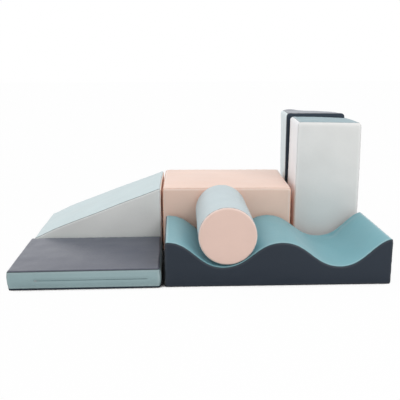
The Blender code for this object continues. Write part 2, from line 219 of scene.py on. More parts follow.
def spread(total, fine, step=STEP, marks=()):
    """Grid distances from 0 to total: fine spacing at both ends and at each
    mark (distance, fine spacing), growing to step between them."""
    stops = [(0.0, fine)] + sorted(marks) + [(total, fine)]
    out = [0.0]
    for (a, fa), (b, fb) in zip(stops, stops[1:]):
        x = np.linspace(a, b, 1500)
        g = np.minimum(step, np.minimum(fa + 0.48 * (x - a), fb + 0.48 * (b - x)))
        cells = np.concatenate([[0.0], np.cumsum(np.diff(x) * (1 / g[1:] + 1 / g[:-1]) / 2)])
        n = max(1, int(round(cells[-1])))
        out.extend(np.interp(np.arange(1, n + 1) * cells[-1] / n, cells, x))
        out[-1] = b
    return np.array(out)


# ---------------------------------------------------------------- modules
class Module:
    """rim: how far the wrapping panels turn over the rounding at both ends
    before the seam. size: the module's box. lifts: how far the top's corners
    stand off their height, front left, front right, rear left, rear right."""

    def __init__(self, name, axes, length, edges, size, lean=0.0, rim=(45, 45), lifts=(0, 0, 0, 0)):
        self.name, self.axes, self.length, self.edges, self.lean = name, axes, length, edges, lean
        self.size, self.lifts = size, lifts
        self.rim = tuple(math.radians(a) for a in rim)
        self.wide = length - 2 * R + R * sum(self.rim)      # from seam to seam across a wrap
        t = math.radians(TURN[name])
        self.c, self.s = math.cos(t), math.sin(t)
        x, y, z = HOLD[name]
        self.hold = (x + SET_X, y + SET_Y, z)

    def _xyz(self, p, q, e):
        return (p, q, e) if self.axes == "XY" else (p, e, q)

    def world(self, p, q, e):
        x, y, z = self._xyz(p, q, e)
        if self.lean:
            x = x + self.lean * z / self.length
        return np.stack([self.hold[0] + x * self.c - y * self.s, self.hold[1] + x * self.s + y * self.c,
                         self.hold[2] + z], -1)

    def place(self, x, y, z):
        """The module's own x, y, z in the world."""
        x, y, z = (np.asarray(c, float) for c in (x, y, z))
        return np.stack([self.hold[0] + x * self.c - y * self.s, self.hold[1] + x * self.s + y * self.c,
                         self.hold[2] + z], -1)

    def own(self, points):
        """World points in the module's own x, y, z."""
        x, y = points[:, 0] - self.hold[0], points[:, 1] - self.hold[1]
        return np.stack([x * self.c + y * self.s, -x * self.s + y * self.c, points[:, 2] - self.hold[2]], -1)

    def direction(self, p, q, e):
        x, y, z = self._xyz(p, q, e)
        return np.stack([x * self.c - y * self.s, x * self.s + y * self.c, z + 0 * x], -1)


def rectangle(w, d):
    return polygon_edges([(0, 0), (w, 0), (w, d), (0, d)])


MODULES = {
    "mat": Module("mat", "XY", 0.105, rectangle(0.800, 0.604), (0.800, 0.604, 0.105), rim=(14, 32)),
    "wedge": Module("wedge", "XZ", 0.604, polygon_edges([(-0.783, 0), (0, 0), (0, 0.405), (-0.783, 0.110)]),
                    (0.783, 0.604, 0.405)),
    "block": Module("block", "XY", 0.403, rectangle(0.796, 0.620), (0.796, 0.620, 0.403), lifts=(0, 0, 0.0045, 0.0045)),
    "wave": Module("wave", "XZ", 0.595, wave_edges(), (1.207, 0.595, 0.250), rim=(31, 45)),
    "roller": Module("roller", "XZ", 0.600, circle_edges(ROLLER_RADIUS), (0.311, 0.600, 0.311), rim=(12, 12)),
    "light_pillar": Module("light_pillar", "XY", 0.797, rectangle(0.397, 0.401), (0.397, 0.401, 0.797), rim=(45, 84),
                           lifts=(0.003, -0.003, 0.002, -0.010)),
    "dark_pillar": Module("dark_pillar", "XY", 0.804, rectangle(0.397, 0.401), (0.397, 0.401, 0.804), lean=-0.013,
                          rim=(45, 84), lifts=(0.011, 0.011, 0.000, -0.012)),
}


class Panel:
    """What a cover panel is: its module, run, colour and shape of fabric."""

    def __init__(self, node, run=None, far=None, crown=0.004, ripple=0.00045, pinch=0.0008, slit=None, colour=None,
                 slot=None, folds=(), bumps=(), step=STEP, bulge=0.0):
        self.node = node
        self.module = MODULES[max((m for m in MODULES if node.startswith(m)), key=len)]
        self.run, self.far, self.crown, self.ripple, self.pinch = run, far, crown, ripple, pinch
        self.slit, self.colour, self.slot, self.folds, self.bumps = slit, colour, slot, folds, bumps
        self.step, self.bulge = step, bulge
        self.name = node.replace("_panel", "") + "_cover"


# slit: (middle along the first direction, middle along the second, length,
# whether it runs along the first), in the module's own distances
PANELS = [
    # the mat's top takes grey, a lighter copy of the slate vinyl: painted reflection of the bright surround
    Panel("mat_top_panel", far=True, crown=0.0040, colour="grey", slot="grey_vinyl"),
    Panel("mat_base_panel", far=False, crown=0.0, ripple=0.0, pinch=0.0, colour="ink", slot="grey_vinyl", step=0.05),
    Panel("mat_band_front", run=(0, 1), crown=0.0, colour="band", slot="aqua_vinyl", bulge=0.006, step=0.010,
          slit=("u", 0.437, 0.0525, 0.590),
          folds=((-0.100, 0.0550, 0.900, 0.0550, 0.0200, 0.0034), (0.735, 0.018, 0.782, 0.050, 0.0045, -0.0026), (0.752, 0.014, 0.788, 0.038, 0.0040, 0.0022),
                 (0.300, 0.0300, 0.770, 0.0330, 0.0040, -0.0016), (0.120, 0.0640, 0.790, 0.0665, 0.0050, 0.0018),
                 (0.020, 0.0760, 0.500, 0.0740, 0.0060, -0.0006), (0.560, 0.0440, 0.790, 0.0470, 0.0035, -0.0009))),
    Panel("mat_band_back", run=(1, 3), crown=0.0, colour="band", slot="aqua_vinyl", bulge=0.006, step=0.012),
    Panel("wedge_slope_panel", run=(2, 1), crown=0.0032, colour="mint", slot="mint_vinyl"),
    Panel("wedge_toe_panel", run=(3, 1), crown=0.0020, colour="mint", slot="mint_vinyl", step=0.012),
    # the wedge's end takes cream: painted peach bounce light from the block
    Panel("wedge_end_panel", run=(1, 1), crown=0.0030, colour="cream", slot="cream_vinyl"),
    Panel("wedge_base_panel", run=(0, 1), crown=0.0, ripple=0.0, pinch=0.0, colour="slate", slot="grey_vinyl", step=0.05),
    Panel("wedge_side_front", far=False, crown=0.0035, colour="white", slot="white_vinyl"),
    Panel("wedge_side_rear", far=True, crown=0.0035, colour="white", slot="white_vinyl", slit=("p", -0.380, 0.040, 0.560)),
    Panel("block_top_panel", far=True, crown=0.0045, colour="peach", slot="peach_vinyl"),
    Panel("block_base_panel", far=False, crown=0.0, ripple=0.0, pinch=0.0, colour="slate", slot="grey_vinyl", step=0.05),
    Panel("block_front_panel", run=(0, 1), crown=0.0040, colour="peach", slot="peach_vinyl"),
    # the block's ends take deep: painted shade and warm bounce light of the gaps to the wedge and the light pillar
    Panel("block_right_panel", run=(1, 1), crown=0.0030, colour="deep", slot="peach_vinyl"),
    Panel("block_rear_panel", run=(2, 1), crown=0.0040, colour="peach", slot="peach_vinyl",
          slit=("u", 0.398, 0.040, 0.640)),
    Panel("block_left_panel", run=(3, 1), crown=0.0030, colour="deep", slot="peach_vinyl"),
    Panel("wave_base_panel", run=(0, 1), crown=0.0, ripple=0.0, pinch=0.0, colour="slate", slot="grey_vinyl", step=0.05),
    Panel("wave_end_right", run=(1, 1), crown=0.0025, colour="slate", slot="navy_vinyl"),
    Panel("wave_top_panel", run=(2, 1), crown=0.0, colour="aqua", slot="aqua_vinyl", step=0.011,
          folds=((1.005, 0.475, 1.075, 0.588, 0.0190, -0.0038), (1.040, 0.470, 1.110, 0.585, 0.0110, 0.0012),
                 (0.985, 0.510, 1.020, 0.590, 0.0090, -0.0010))),
    Panel("wave_end_left", run=(3, 1), crown=0.0025, colour="slate", slot="navy_vinyl"),
    Panel("wave_side_front", far=False, crown=0.0022, colour="slate", slot="navy_vinyl", step=0.012,
          folds=((0.640, 0.150, 0.700, 0.215, 0.0065, 0.0024), (0.668, 0.135, 0.722, 0.196, 0.0055, -0.0019))),
    Panel("wave_side_rear", far=True, crown=0.0022, colour="slate", slot="navy_vinyl", step=0.020,
          slit=("p", 0.6035, 0.040, 0.900)),
    Panel("roller_wrap", run=(0, 0), crown=0.0, ripple=0.0003, colour="mint_roll", slot="mint_vinyl", step=0.013),
    Panel("roller_end_front", far=False, crown=0.0045, pinch=0.0, colour="blush", slot="peach_vinyl"),
    Panel("roller_end_rear", far=True, crown=0.0045, pinch=0.0, colour="blush", slot="peach_vinyl",
          slit=("p", 0.0, 0.0, 0.230)),
]
for stem, face, right_slit, rear_slit, top in (
        # the light pillar's left face takes pale: painted light on its brighter side
        ("light_pillar", {"front": "chalk", "right": "chalk", "rear": "chalk", "left": "pale"},
         ("u", 0.2005, 0.040, 0.300), None, "aqua_tall"),
        # the dark pillar's left face takes mint_tall, painted light; its top takes grey, painted reflection
        ("dark_pillar", {"front": "ink", "right": "ink", "rear": "ink", "left": "mint_tall"},
         None, ("u", 0.1985, 0.040, 0.300), "grey")):
    slots = {"chalk": "white_vinyl", "ink": "navy_vinyl", "cream": "cream_vinyl", "aqua": "aqua_vinyl", "mint": "mint_vinyl", "mint_tall": "mint_vinyl", "aqua_tall": "aqua_vinyl",
             "slate": "navy_vinyl", "grey": "grey_vinyl", "pale": "cream_vinyl"}
    for i, side in enumerate(("front", "right", "rear", "left")):
        PANELS.append(Panel(stem + "_" + side + "_panel", run=(i, 1), crown=0.0036, colour=face[side],
                            slot=slots[face[side]], slit={"right": right_slit, "rear": rear_slit}.get(side)))
    PANELS.append(Panel(stem + "_top_panel", far=True, crown=0.0040 if stem == "light_pillar" else 0.0065, colour=top,
                        bumps=() if stem == "light_pillar" else ((0.060, 0.350, 0.055, 0.0085), (0.030, 0.030, 0.022, 0.0022)),
                        slot=slots[top]))
    PANELS.append(Panel(stem + "_base_panel", far=False, crown=0.0, ripple=0.0, pinch=0.0, colour="slate",
                        slot="grey_vinyl", step=0.05))


# ---------------------------------------------------------------- soft variation
class Waves:
    """A smooth repeatable wander: a sum of waves of given lengths."""

    def __init__(self, seed, shortest, longest, dims, count=9):
        r = np.random.default_rng(seed)
        way = r.normal(size=(count, dims))
        way /= np.linalg.norm(way, axis=1)[:, None]
        size = 2 * np.pi / np.exp(r.uniform(math.log(shortest), math.log(longest), count))
        self.k, self.phase = way * size[:, None], r.uniform(0, 2 * np.pi, count)
        self.scale = math.sqrt(2.0 / count)

    def __call__(self, x):
        x = np.asarray(x, float)
        if x.shape[-1:] != (self.k.shape[1],) or x.ndim == 1:
            x = x[..., None]
        return np.sin(x @ self.k.T + self.phase).sum(-1) * self.scale


def off_zip(module, points):
    """Distance from the middle line of the module's zip."""
    middle, along, _, _, length = ZIPS[module.name]
    d = module.own(points) - np.array(middle)
    s = d @ np.array(along, float)
    near = np.clip(s, -length / 2, length / 2)[:, None] * np.array(along, float)
    return np.linalg.norm(d - near, axis=1)


def settle(module, points):
    """The points moved as the module's foam is out of true: slightly uneven
    faces, and a top whose corners stand a little high or low."""
    seed = 100 + list(MODULES).index(module.name) * 7
    calm = {"wave": 0.35, "roller": 0.25, "mat": 0.7}.get(module.name, 0.9)
    lift = smooth(points[:, 2], 0.006, 0.06)
    if module.name == "roller":
        lift = np.ones(len(points))
    free = smooth(off_zip(module, points), 0.02, 0.12)
    out = np.stack([Waves(seed + i, 0.22, 0.70, 3)(points) for i in range(3)], -1) * 0.0009 * calm * free[:, None]
    out[:, 2] *= lift
    out[:, :2] *= (0.25 + 0.75 * lift)[:, None]
    own = module.own(points)
    s, t, w = own[:, 0] / module.size[0], own[:, 1] / module.size[1], smooth(own[:, 2] / module.size[2], 0.25, 1.0)
    a, b, c, d = module.lifts
    out[:, 2] += ((a * (1 - s) + b * s) * (1 - t) + (c * (1 - s) + d * s) * t) * w
    if module.name == "wave":
        out[:, 2] -= 0.0055 * (1 - smooth(own[:, 0], 0.0, 0.34)) * smooth(t, 0.0, 1.0) * w
        out[:, 0] -= (0.007 * t - 0.002) * smooth(own[:, 2] / 0.25, 0.3, 1.0) * (1 - smooth(own[:, 0], 0.0, 0.12))
        dent = np.exp(-((own[:, 0] - 1.085) / 0.050) ** 2 / 2 - ((own[:, 1] - 0.566) / 0.028) ** 2 / 2)
        dent += 0.6 * np.exp(-((own[:, 0] - 1.015) / 0.022) ** 2 / 2 - ((own[:, 1] - 0.535) / 0.030) ** 2 / 2)
        out[:, 2] -= 0.012 * dent * smooth(own[:, 2], 0.06, 0.09)
    if module.name == "light_pillar":
        high = smooth(own[:, 2] / 0.797, 0.2, 0.9)
        out[:, 0] -= 0.003 * s * w
        out[:, 0] += (0.003 * high - 0.004 * (1 - high)) * (1 - s) * lift
    if module.name == "block":      # its left end is a little askew
        out[:, 0] -= 0.010 * t * (1 - smooth(s, 0.0, 0.3)) * smooth(own[:, 2] / 0.403, 0.0, 0.5)
    if module.name == "dark_pillar":
        out[:, 0] += (0.004 * t - 0.007 * (1 - t) * (1 - w)) * (1 - smooth(s, 0.0, 0.5)) * lift
    if module.name == "mat":        # its lower front edge stands forward, most at the right
        out[:, 1] -= (0.001 + 0.006 * s) * smooth(1 - own[:, 2] / 0.105, 0.1, 1.0) * (1 - smooth(own[:, 1], 0.0, 0.10))
        out[:, 0] += 0.005 * smooth(1 - own[:, 2] / 0.105, 0.2, 1.0) * (1 - smooth(own[:, 0], 0.0, 0.10))
    if module.name == "wedge":      # the thin end is pressed down and out
        toe = smooth(-own[:, 0], 0.640, 0.783)
        out[:, 2] -= 0.013 * toe * smooth(own[:, 2], 0.03, 0.10)
        out[:, 0] -= 0.006 * toe * smooth(own[:, 2], 0.0, 0.05)
        out[:, 0] += smooth((own[:, 0] + 0.783) / 0.783, 0.3, 1.0) * (0.012 * t - 0.001 * (1 - t)) * w
    if module.name in SOFTER:       # rounder along the top's edges than the sewn shape
        amount, reach = SOFTER[module.name]
        low = np.clip(1 - (module.size[2] - own[:, 2]) / reach, 0.0, 1.0) ** 2
        for i, far in ((0, False), (0, True), (1, False), (1, True)):
            d = module.size[i] - own[:, i] if far else own[:, i]
            if i == 0:
                d = d - module.lean * np.clip(own[:, 2] / module.size[2], 0, 1) * (-1 if far else 1)
            out[:, 2] -= amount * np.clip(1 - np.maximum(d, 0) / reach, 0.0, 1.0) ** 2 * smooth(own[:, 2] / module.size[2], 0.80, 0.97)
            way = (-1 if far else 1) * amount * low * np.clip(1 - np.maximum(d, 0) / 0.06, 0.0, 1.0)
            across_, up = (module.c, module.s) if i == 0 else (-module.s, module.c)
            out[:, 0] += way * across_
            out[:, 1] += way * up
    return points + out


SOFTER = {"light_pillar": (0.0038, 0.024), "dark_pillar": (0.0038, 0.024), "block": (0.0028, 0.020)}


def squared(module, normals):
    """How much further out the cover goes along a base edge, where the module's
    weight presses the rounding square."""
    if module.name == "roller":
        return 0.0
    nz, nh = np.abs(normals[:, 2]), np.hypot(normals[:, 0], normals[:, 1])
    power = {"mat": 3.0, "wave": 3.5}.get(module.name, 8.0)
    return np.where(normals[:, 2] < 0, R * ((nz ** power + nh ** power) ** (-1 / power) - 1), 0.0)


def slit_gap(panel, a, b):
    """Distance from a zip's slit for points (a, b) on the panel, or a large number."""
    if not panel.slit:
        return np.full(np.shape(a), 9.0)
    _, ca, cb, length = panel.slit
    da = np.maximum(np.abs(a - ca) - length / 2, 0.0)
    db = np.maximum(np.abs(b - cb) - SLIT / 2, 0.0)
    return np.hypot(da, db)


def height(panel, du, dv, along, a, b, rise):
    """How far the vinyl stands out of the plain shape.

    du, dv: distances from the seams in the two directions; along: place along
    the nearest seam; a, b: plain coordinates on the panel; rise: 0 to 1 crown."""
    d = np.minimum(du, dv)
    seed = 1000 + [p.node for p in PANELS].index(panel.node) * 11
    h = panel.crown * rise
    near = np.exp(-d / 0.016) * (1 - np.exp(-d / 0.0020))
    if panel.ripple:
        h = h + panel.ripple * Waves(seed, 0.030, 0.075, 1)(along) * near * 1.5
        h = h + 0.0005 * Waves(seed + 1, 0.10, 0.45, 2)(np.stack([a, b], -1)) * smooth(d, 0.004, 0.05)
    if panel.pinch:
        rho, phi = np.hypot(du, dv), np.arctan2(dv, du)
        turn = seed * 0.7 + 2.1 * np.round(Waves(seed + 2, 1.2, 2.0, 2)(np.stack([a, b], -1)))
        h = h + panel.pinch * np.cos(7.0 * phi + 1.3 * np.sin(turn)) * np.exp(-rho / 0.032) * smooth(rho, 0.004, 0.020)
    for pa, qa, pb, qb, width, amount in panel.folds:
        length = math.hypot(pb - pa, qb - qa)
        ux, uy = (pb - pa) / length, (qb - qa) / length
        s = ((a - pa) * ux + (b - qa) * uy) / length
        off = (a - pa) * -uy + (b - qa) * ux
        off = off - 0.0025 * np.sin(7.0 * s + pa * 9)
        h = h + amount * np.exp(-(off / width) ** 2) * smooth(s, -0.05, 0.25) * (1 - smooth(s, 0.75, 1.05))
    for ca, cb, radius, amount in panel.bumps:
        h = h + amount * np.exp(-((a - ca) ** 2 + (b - cb) ** 2) / radius ** 2) * smooth(d, 0.0, 0.02)
    h = np.maximum(h, -0.0030 if panel.node == "mat_band_front" else -0.0009)
    if panel.slit:
        g = slit_gap(panel, a, b)
        h = h * smooth(g, 0.003, 0.014 if panel.bulge else 0.045)
        h = h - 0.00055 * (1 - smooth(g, 0.0, 0.0022))
    return h


def turned_in(d):
    """Depth of the turned-in vinyl at distance d from a seam's middle."""
    t = np.clip((ROLL - d) / ROLL, 0.0, 1.0)
    return -ROLL * (1 - np.sqrt(np.maximum(1 - t * t, 0.0)))


# ---------------------------------------------------------------- grids
class Grid:
    """Outer and inner points of a panel with its cells, ready for a mesh."""
    pass


def cells_of(nu, nv):
    i, j = np.meshgrid(np.arange(nu - 1), np.arange(nv - 1), indexing="ij")
    a = i * nv + j
    return np.stack([a, a + nv, a + nv + 1, a + 1], -1)


def wrap_grid(panel):
    """The tensor grid of a wrapping panel: distances u along the run, v across."""
    m = panel.module
    first, count = panel.run
    path = Path(m.edges, first, count, closed_circle=(count == 0))
    total_v = m.wide
    marks_u, marks_v = [], []
    offset = path.s[8] if count else 0.0    # where the flat of the first edge starts
    if panel.slit:
        _, ca, cb, length = panel.slit
        middle = ca - R + offset
        marks_u = [(middle - length / 2, 0.0012), (middle + length / 2, 0.0012)]
        vm = cb - R + R * m.rim[0]
        marks_v = [(vm - SLIT / 2, 0.0008), (vm + SLIT / 2, 0.0008)]
    u = spread(path.length - 2 * HALF_GAP, 0.0005, panel.step, [(a - HALF_GAP, f) for a, f in marks_u]) + HALF_GAP
    v = spread(total_v - 2 * HALF_GAP, 0.0005, panel.step, [(a - HALF_GAP, f) for a, f in marks_v]) + HALF_GAP
    u = np.concatenate([[u[0]], u, [u[-1]]])
    v = np.concatenate([[v[0]], v, [v[-1]]])
    nu, nv = len(u), len(v)
    g = Grid()
    g.kind, g.path, g.total_v, g.offset = "wrap", path, total_v, offset
    g.nu, g.nv = nu, nv
    wall_u, wall_v = np.zeros(nu, bool), np.zeros(nv, bool)
    wall_u[[0, -1]] = True
    wall_v[[0, -1]] = True
    U, V = np.meshgrid(u, v, indexing="ij")
    g.wall = (wall_u[:, None] | wall_v[None, :]).ravel()
    g.u, g.v = U.ravel(), V.ravel()
    g.cells = cells_of(nu, nv)
    if panel.slit:
        cu, cv = (u[:-1] + u[1:]) / 2, (v[:-1] + v[1:]) / 2
        hole = ((np.abs(cu - middle) < length / 2)[:, None] & (np.abs(cv - vm) < SLIT / 2)[None, :])
        g.cells = g.cells[~hole]
    g.cells = g.cells.reshape(-1, 4)
    g.triangles = np.zeros((0, 3), int)
    return g


def wrap_points(panel, g, inner, rises):
    """World points, and the values that the material reads."""
    m, path = panel.module, g.path
    u, v, wall = g.u, g.v, g.wall
    lu, lv = path.length, g.total_v
    if inner:
        def shift(x, total):
            d = np.minimum(x, total - x)
            return x + np.where(x < total / 2, 1, -1) * SLIP * np.clip(1 - d / 0.007, 0, 1)
        u, v = shift(u, lu), shift(v, lv)
    du, dv = np.minimum(u, lu - u), np.minimum(v, lv - v)
    d = np.minimum(du, dv)
    along = np.where(du < dv, v, u)
    c, n = path.at(u)
    out, e, cn, sn = across(v, m)
    a = u - g.offset + R if panel.run[1] else u
    if panel.node == "wave_top_panel":
        a = c[:, 0]
    b = e
    rise = rises(u / lu, v / lv)
    h = height(panel, du, dv, along, a, b, rise)
    if panel.bulge:
        x = np.clip((np.abs(e - m.length / 2) / (m.length / 2 - R) - 0.2) / 0.8, 0, 1)
        much = panel.bulge * (1 - x ** 1.6) * smooth(v, 0.0, ARC * 1.3) * smooth(lv - v, 0.0, ARC * 1.3)
        own = m.own(m.world(c[:, 0], c[:, 1], e))
        much = much * (1 - 0.65 * (1 - smooth(own[:, 0], 0.0, 0.06)))       # little at the left end
        h = h + much
    if m.name == "wave" and panel.node == "wave_top_panel":
        # the vinyl gathers a little along both seams where the top dips
        z = wave_height(c[:, 0])
        dip = smooth(0.20 - z, 0.0, 0.09)
        h = h + dip * 0.0007 * Waves(77, 0.045, 0.080, 1)(u) * np.exp(-dv / 0.030) * smooth(dv, 0.003, 0.020)
        h = np.maximum(h, -0.0007)
    nrm = m.direction(n[:, 0] * cn, n[:, 1] * cn, sn)
    turned = turned_in(d)
    if inner:
        h = np.where(wall, -SEAM_DEPTH, h - SKIN)
    else:
        h = np.where(wall, -SEAM_DEPTH, h + turned)
    h = h + squared(m, nrm)
    p = c[:, 0] + n[:, 0] * (out + h * cn)
    q = c[:, 1] + n[:, 1] * (out + h * cn)
    pts = m.world(p, q, e + h * sn)
    return pts, nrm, np.where(wall, 0.0, d), along


def side_grid(panel):
    """The grid of a side panel: a four-sided field inside the inset outline, a
    border turned over the rim, and a small fan at each corner."""
    m = panel.module
    edges = m.edges
    step = panel.step
    disc = len(edges) == 1
    g = Grid()
    g.kind = "side"
    g.phi = m.rim[1 if panel.far else 0]
    g.arc = arc = R * (math.pi / 2 - g.phi)
    fine = 0.0042 if arc > 0.003 else 0.0007
    if disc:
        radius = ROLLER_RADIUS - R
        marks_s, marks_t = [], []
        if panel.slit:
            hs = panel.slit[3] / 2
            marks_s = [(radius - hs, 0.003), (radius + hs, 0.003)]
            marks_t = [(radius - SLIT / 2, 0.0012), (radius + SLIT / 2, 0.0012)]
        s = spread(2 * radius, fine, step * 0.8, marks_s) / radius - 1
        t = spread(2 * radius, fine, step * 0.8, marks_t) / radius - 1
        S, T = np.meshgrid(s, t, indexing="ij")
        straight = 1 - np.maximum(smooth(np.abs(T), 0.06, 0.5), smooth(np.abs(S), 0.86, 1.0))
        bend = np.sqrt(1 - S * S / 2)
        P = radius * S * np.sqrt(1 - T * T / 2)
        if panel.slit:
            # columns at the slit's ends keep their distance there
            P = radius * S * np.sqrt(1 - T * T / 2)
        Q = radius * T * (straight + (1 - straight) * bend)
    else:
        bottom, right, top, left = edges
        w = bottom.along[-1]
        marks_s, marks_t = [], []
        if panel.slit:
            x0 = bottom.inset[0][0]
            hs = panel.slit[3] / 2
            marks_s = [(panel.slit[1] - hs - x0, 0.0012), (panel.slit[1] + hs - x0, 0.0012)]
        s_along = spread(w, fine, step, marks_s)
        # the top edge's own distances, counted from the left like the bottom's
        top_along = top.along[-1] - top.along[::-1]
        top_inset = top.inset[::-1]
        top_angle = top.angle[::-1]
        if len(top_along) > 2:
            # wave: columns stand upright, so the top point has the column's x
            x = bottom.inset[0][0] + s_along
            tp = np.stack([x, np.interp(x, top_inset[:, 0], top_inset[:, 1])], -1)
            tp[0], tp[-1] = top_inset[0], top_inset[-1]
            ta = np.interp(x, top_inset[:, 0], top_angle)
        else:
            f = s_along / w
            tp = top_inset[0] + (top_inset[-1] - top_inset[0]) * f[:, None]
            ta = np.full(len(f), top_angle[0])
        bp = bottom.inset[0] + (bottom.inset[-1] - bottom.inset[0]) * (s_along / w)[:, None]
        tall = max(right.along[-1], left.along[-1]) if len(top_along) == 2 else 0.23
        if panel.slit:
            # rows follow the slit near the base and the top edge above it
            low = panel.slit[2] - bp[0][1] if m.axes == "XZ" else 0.0
            rows_low = spread(low + SLIT / 2, fine, step, [(low - SLIT / 2, 0.0008)])
            rows_low[-1] = low + SLIT / 2
            upper = spread(tall - low - SLIT / 2, 0.0008, step)
            k = len(rows_low)
            T = np.zeros((len(s_along), k + len(upper) - 1))
            T[:, :k] = rows_low
            full = tp[:, 1] - bp[:, 1]
            rest = (upper[1:] / upper[-1])
            # a finer last row at the top edge
            rest = 1 - (1 - rest) ** 1.0
            T[:, k:] = (low + SLIT / 2) + rest * (full - low - SLIT / 2)[:, None]
            frac = T / full[:, None]
        else:
            rows = spread(tall, fine, step) / tall
            frac = np.repeat(rows[None, :], len(s_along), 0)
        P = bp[:, None, 0] * (1 - frac) + tp[:, None, 0] * frac
        Q = bp[:, None, 1] * (1 - frac) + tp[:, None, 1] * frac
    nu, nv = P.shape
    g.nu, g.nv = nu, nv
    idx = np.arange(nu * nv).reshape(nu, nv)
    cells = cells_of(nu, nv)
    if panel.slit:
        _, ca, cb, length = panel.slit
        cp = (P[:-1, :-1] + P[1:, :-1] + P[1:, 1:] + P[:-1, 1:]) / 4
        cq = (Q[:-1, :-1] + Q[1:, :-1] + Q[1:, 1:] + Q[:-1, 1:]) / 4
        hole = (np.abs(cp - ca) < length / 2) & (np.abs(cq - cb) < SLIT / 2)
        cells = cells[~hole]
    cells = cells.reshape(-1, 4)
    # border loop: indices and outward angles, anticlockwise, with a fan at each corner
    loop, angle = [], []
    if disc:
        for line in (idx[:-1, 0], idx[-1, :-1], idx[:0:-1, -1], idx[0, :0:-1]):
            for i in line:
                loop.append(i)
                angle.append(math.atan2(Q.flat[i], P.flat[i]))
    else:
        angles = [np.full(nu, bottom.angle[0]), np.full(nv, right.angle[0]), ta[::-1], np.full(nv, left.angle[0])]
        for k, line in enumerate((idx[:, 0], idx[-1, :], idx[::-1, -1], idx[0, ::-1])):
            a = np.array(angles[k], float)
            nxt = angles[(k + 1) % 4][0]
            while nxt < a[-1] - 1e-9:
                nxt += 2 * math.pi
            while nxt > a[-1] + math.pi:
                nxt -= 2 * math.pi
            loop.extend(line[:-1])
            angle.extend(a[:-1])
            fan = np.linspace(a[-1], nxt, 9)[:-1]
            loop.extend([line[-1]] * 8)
            angle.extend(fan)
    loop, angle = np.array(loop), np.array(angle)
    n_loop = len(loop)
    # border rows: distances from the seam, falling; the last goes straight in
    rows = spread(arc - HALF_GAP, 0.0005, 0.003) + HALF_GAP
    rows = rows[rows < arc - 0.0003][::-1]
    rows = np.concatenate([rows, [rows[-1]]])
    base_p, base_q = P.ravel()[loop], Q.ravel()[loop]
    c_p, c_q, c_a, c_d, c_wall, c_base = [P.ravel()], [Q.ravel()], [np.zeros(nu * nv)], [np.full(nu * nv, arc)], \
        [np.zeros(nu * nv, bool)], [np.arange(nu * nv)]
    quads, tris = [cells], []
    previous = loop.copy()
    count = nu * nv
    for r, d in enumerate(rows):
        now = count + np.arange(n_loop)
        c_p.append(base_p)
        c_q.append(base_q)
        c_a.append(angle)
        c_d.append(np.full(n_loop, d))
        c_wall.append(np.full(n_loop, r == len(rows) - 1))
        c_base.append(loop)
        nxt = np.roll(np.arange(n_loop), -1)
        a, b, c, e = previous, previous[nxt], now[nxt], now
        same = a == b
        quads.append(np.stack([a, e, c, b], -1)[~same])
        tris.append(np.stack([a, e, c], -1)[same])
        previous = now
        count += n_loop
    g.p, g.q, g.angle, g.d = (np.concatenate(x) for x in (c_p, c_q, c_a, c_d))
    g.wall, g.base = np.concatenate(c_wall), np.concatenate(c_base)
    g.cells, g.triangles = np.concatenate(quads), np.concatenate(tris)
    g.field = nu * nv
    # distances of the field's points from the four sides, and their place along the nearest
    if disc:
        r = np.hypot(P, Q).ravel()
        edge = (ROLLER_RADIUS - R) - r
        g.du = g.dv = edge
        g.along = np.arctan2(Q, P).ravel() * ROLLER_RADIUS
    else:
        step_u = np.hypot(np.diff(P, axis=0), np.diff(Q, axis=0))
        step_v = np.hypot(np.diff(P, axis=1), np.diff(Q, axis=1))
        su = np.concatenate([np.zeros((1, nv)), np.cumsum(step_u, 0)])
        sv = np.concatenate([np.zeros((nu, 1)), np.cumsum(step_v, 1)], 1)
        g.du = np.minimum(su, su[-1] - su).ravel()
        g.dv = np.minimum(sv, sv[:, -1:] - sv).ravel()
        g.along = np.where(g.du < g.dv, sv.ravel(), su.ravel())
    g.st = np.stack([np.repeat(np.linspace(0, 1, nu), nv), np.tile(np.linspace(0, 1, nv), nu)], -1)
    if disc:
        g.st = np.stack([(P / (2 * ROLLER_RADIUS) + 0.5).ravel(), (Q / (2 * ROLLER_RADIUS) + 0.5).ravel()], -1)
    else:
        g.st = np.stack([(su / su[-1]).ravel(), (sv / sv[:, -1:]).ravel()], -1)
    g.disc = disc
    return g


def side_points(panel, g, inner, rises):
    m = panel.module
    d, base = g.d, g.base
    field = np.arange(len(d)) < g.field
    if inner:
        d = np.where(field, d, np.minimum(d + SLIP * np.clip(1 - d / 0.007, 0, 1), g.arc))
    a = np.where(field, math.pi / 2, g.phi + d / R)
    du = np.where(field, g.du[base] + g.arc, np.where(g.du[base] < g.dv[base] + 1e-9, d, g.du[base] + g.arc))
    dv = np.where(field, g.dv[base] + g.arc, np.where(g.dv[base] <= g.du[base] + 1e-9, d, g.dv[base] + g.arc))
    if g.disc:
        du = dv = np.where(field, g.du[base] + g.arc, d)
    along = g.along[base] + np.where(field, 0, 0)
    st = g.st[base]
    rise = rises(st[:, 0], st[:, 1]) * np.where(field, 1.0, smooth(d, 0.0, g.arc))
    n = np.stack([np.cos(g.angle), np.sin(g.angle)], -1)
    h = height(panel, du, dv, along, g.p, g.q, rise)
    gap = np.minimum(du, dv)
    if inner:
        h = np.where(g.wall, -SEAM_DEPTH, h - SKIN)
    else:
        h = np.where(g.wall, -SEAM_DEPTH, h + turned_in(gap))
    ca, sa = np.where(field, 0.0, np.cos(a)), np.where(field, 1.0, np.sin(a))
    nrm = m.direction(n[:, 0] * ca, n[:, 1] * ca, sa if panel.far else -sa)
    h = h + squared(m, nrm)
    p = g.p + n[:, 0] * ca * (R + h)
    q = g.q + n[:, 1] * ca * (R + h)
    e = R * (1 - sa) - h * sa
    e = m.length - e if panel.far else e
    pts = m.world(p, q, e)
    return pts, nrm, np.where(g.wall, 0.0, gap), along


